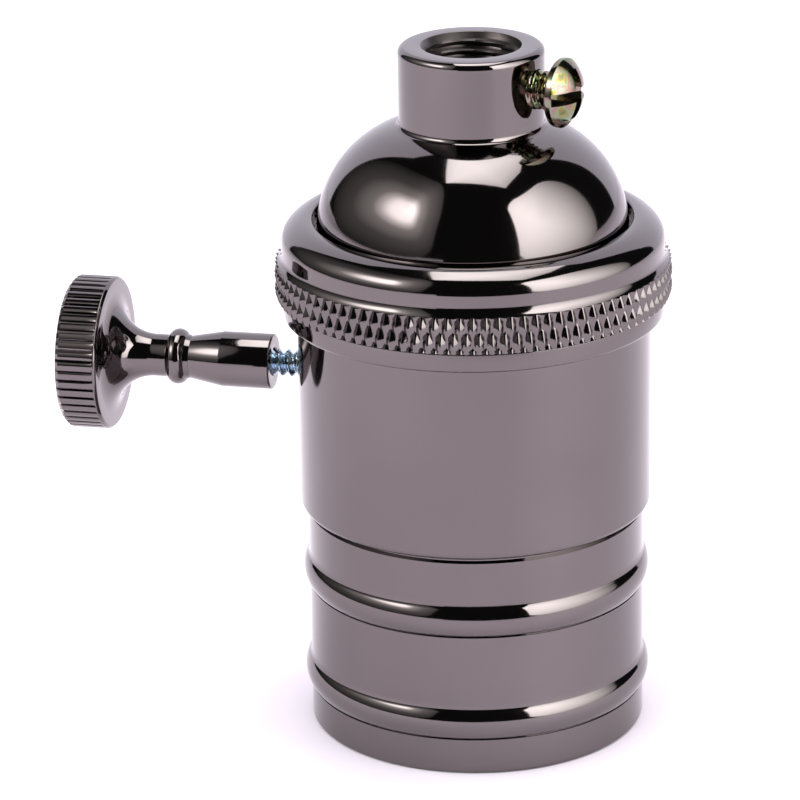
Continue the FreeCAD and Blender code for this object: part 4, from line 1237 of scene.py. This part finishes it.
# Outline corners are (degrees to the right of the camera's side, degrees up, share of the glow);
# rings are (share of the way from the middle to the outline, glow)
plainPanel = {
    "colour": (1.0, 1.0, 1.0),
    "rounding": 0,
    "mirrored": True,
    "lights": True,
}
panels = {
    "wallBehind": {
        "distance": 1.15,
        "colour": (0.98, 0.96, 1.08),
        "middle": (176, 20),
        "outline": ((131, -2.6, 1), (221, -2.6, 1), (221, 55, 1), (131, 55, 1)),
        "rings": ((0, 1.25), (1, 1.25)),
    },
    "boxRight": {
        "distance": 0.42,
        "colour": (1.0, 0.99, 0.97),
        "middle": (52, 26),
        "outline": ((30, -6.5, 0.7), (64, -7, 0.5), (99, -6.5, 0.15), (103, 11, 0.08), (102, 41, 0.12),
                    (89, 54, 0.35), (62, 54, 0.8), (33, 51, 1.05), (29, 30, 1.0)),
        "rounding": 2,
        "rings": ((0, 6.2), (0.4, 6.4), (0.8, 6.2), (1, 5.4)),
        "lights": False,  # seen by polished metal only, so it throws no shadow to the left
    },
    "umbrellaLeft": {
        "distance": 0.75,
        "colour": (1.0, 0.98, 0.96),
        "middle": (-60, 36),
        "outline": ((-29.5, 28, 1.7), (-31, 0, 0.8), (-52, -4, 0.7), (-90, -4, 0.45), (-122, -4, 0.35),
                    (-137, 6, 0.3), (-140, 28, 0.3), (-130, 50, 0.3), (-108, 62, 0.4), (-84, 68, 0.8),
                    (-55, 70, 1.5), (-38, 62, 1.9), (-30, 46, 1.9)),
        "rounding": 2,
        "rings": ((0, 8.2), (0.21, 7.2), (0.32, 3.4), (0.41, 1.4), (0.65, 0.5), (1, 0.15)),
    },
    "boxOverhead": {
        "distance": 0.95,
        "colour": (1.0, 1.0, 0.98),
        "middle": (130, 85),
        "outline": ((-161, 65, 1), (140, 58, 0.7), (100, 66, 0.5), (50, 65, 0.5), (-55, 72, 0.95)),
        "rings": ((0, 6.2), (0.7, 6.2), (1, 5.2)),
    },
    "flagFront": {
        "distance": 0.36,
        "middle": (4, 24),
        "outline": ((-22, -8, 1), (32, -8, 1), (32, 60, 1), (-22, 60, 1)),
        "rings": ((0, 0.02), (1, 0.02)),
        "lights": False,
    },
    "fillLeft": {
        "distance": 0.6,
        "middle": (-70, 35),
        "outline": ((-115, -3, 1), (-25, -3, 1), (-25, 60, 1), (-115, 60, 1)),
        "rings": ((0, 2.5), (1, 2.5)),
        "mirrored": False,
    },
    "fillRight": {
        "distance": 0.6,
        "middle": (85, 35),
        "outline": ((45, -3, 1), (125, -3, 1), (125, 60, 1), (45, 60, 1)),
        "rings": ((0, 2.2), (1, 2.2)),
        "mirrored": False,
    },
}


def makeFloor(values):
    made = bmesh.new()
    bmesh.ops.create_circle(made, cap_ends=True, segments=96, radius=values["floorRadius"])
    mesh = intoMesh(made, "floor")
    floor = addObject("floor", mesh)
    material, tree, shader = newMaterial("paleFloor")
    light = values["floorColour"]
    dark = tuple(value * values["floorDarker"] for value in light)
    tint = addTint(tree, {"cloudScale": values["floorCloudScale"], "dark": dark, "light": light})
    tree.links.new(tint, shader.inputs["Base Color"])
    setInputs(shader, {"Roughness": values["floorRoughness"], "Specular IOR Level": values["floorSpecular"]})
    # clear from below, so that a camera under it sees the part
    side = addNode(tree, "ShaderNodeNewGeometry")
    clear = addNode(tree, "ShaderNodeBsdfTransparent")
    mix = addNode(tree, "ShaderNodeMixShader")
    out = tree.nodes["Material Output"]
    join(side, "Backfacing", mix, "Fac")
    join(shader, "BSDF", mix, 1)
    join(clear, "BSDF", mix, 2)
    join(mix, "Shader", out, "Surface")
    mesh.materials.append(material)


def makeGlow(name, colour):
    # a panel glows by the value stored at its points
    material, tree, shader = newMaterial(name)
    tree.nodes.remove(shader)
    stored = addNode(tree, "ShaderNodeAttribute", attribute_name="glow")
    light = addNode(tree, "ShaderNodeEmission", {"Color": (*colour, 1)})
    join(stored, "Fac", light, "Strength")
    join(light, "Emission", tree.nodes["Material Output"], "Surface")
    return material


def cornersCut(outline):
    # one round of corner cutting: each side keeps its middle half
    cut = []
    for here, after in zip(outline, outline[1:] + outline[:1]):
        for share in (0.25, 0.75):
            cut.append(tuple(a + (b - a) * share for a, b in zip(here, after)))
    return cut


def makePanel(name, values):
    eye = Vector((0, 0, studio["eyeHeight"]))

    def towards(azimuth, elevation):
        around, up = math.radians(studio["toCamera"] + azimuth), math.radians(elevation)
        way = Vector((math.cos(around) * math.cos(up), math.sin(around) * math.cos(up), math.sin(up)))
        return eye + way * values["distance"]

    outline = list(values["outline"])
    for _ in range(values["rounding"]):
        outline = cornersCut(outline)
    middle = towards(*values["middle"])
    rim = [(towards(azimuth, elevation), share) for azimuth, elevation, share in outline]
    count = len(rim)
    points, strengths, faces = [middle], [values["rings"][0][1]], []
    for share, strength in values["rings"][1:]:
        points += [middle.lerp(corner, share) for corner, _ in rim]
        strengths += [strength * (1 + (own - 1) * share) for _, own in rim]
    for side in range(count):
        after = (side + 1) % count
        faces.append((0, 1 + side, 1 + after))
        for ringIndex in range(len(values["rings"]) - 2):
            inner, outer = 1 + ringIndex * count, 1 + (ringIndex + 1) * count
            faces.append((inner + side, outer + side, outer + after, inner + after))
    mesh = bpy.data.meshes.new(name)
    mesh.from_pydata(points, [], faces)
    stored = mesh.attributes.new("glow", "FLOAT", "POINT")
    stored.data.foreach_set("value", strengths)
    mesh.materials.append(makeGlow(name + "Glow", values["colour"]))
    panel = addObject(name, mesh)
    panel.visible_camera = False
    panel.visible_glossy = values["mirrored"]
    panel.visible_diffuse = values["lights"]


def makeWorld(values):
    # white to the camera, a soft fill for matt surfaces, a dark room for polished ones
    world = bpy.data.worlds.new("studioWorld")
    world.use_nodes = True
    scene.world = world
    tree = world.node_tree
    back = tree.nodes["Background"]
    back.inputs["Color"].default_value = (1, 1, 1, 1)
    rays = addNode(tree, "ShaderNodeLightPath")
    polished = addNode(tree, "ShaderNodeMix", {"A": values["skyFill"], "B": values["darkRoom"]})
    seen = addNode(tree, "ShaderNodeMix", {"B": values["backdrop"]})
    join(rays, "Is Glossy Ray", polished, "Factor")
    join(rays, "Is Camera Ray", seen, "Factor")
    join(polished, "Result", seen, "A")
    join(seen, "Result", back, "Strength")


makeFloor(studio)
for panelName, values in panels.items():
    makePanel(panelName, {**plainPanel, **values})
makeWorld(studio)
print("studio lit")
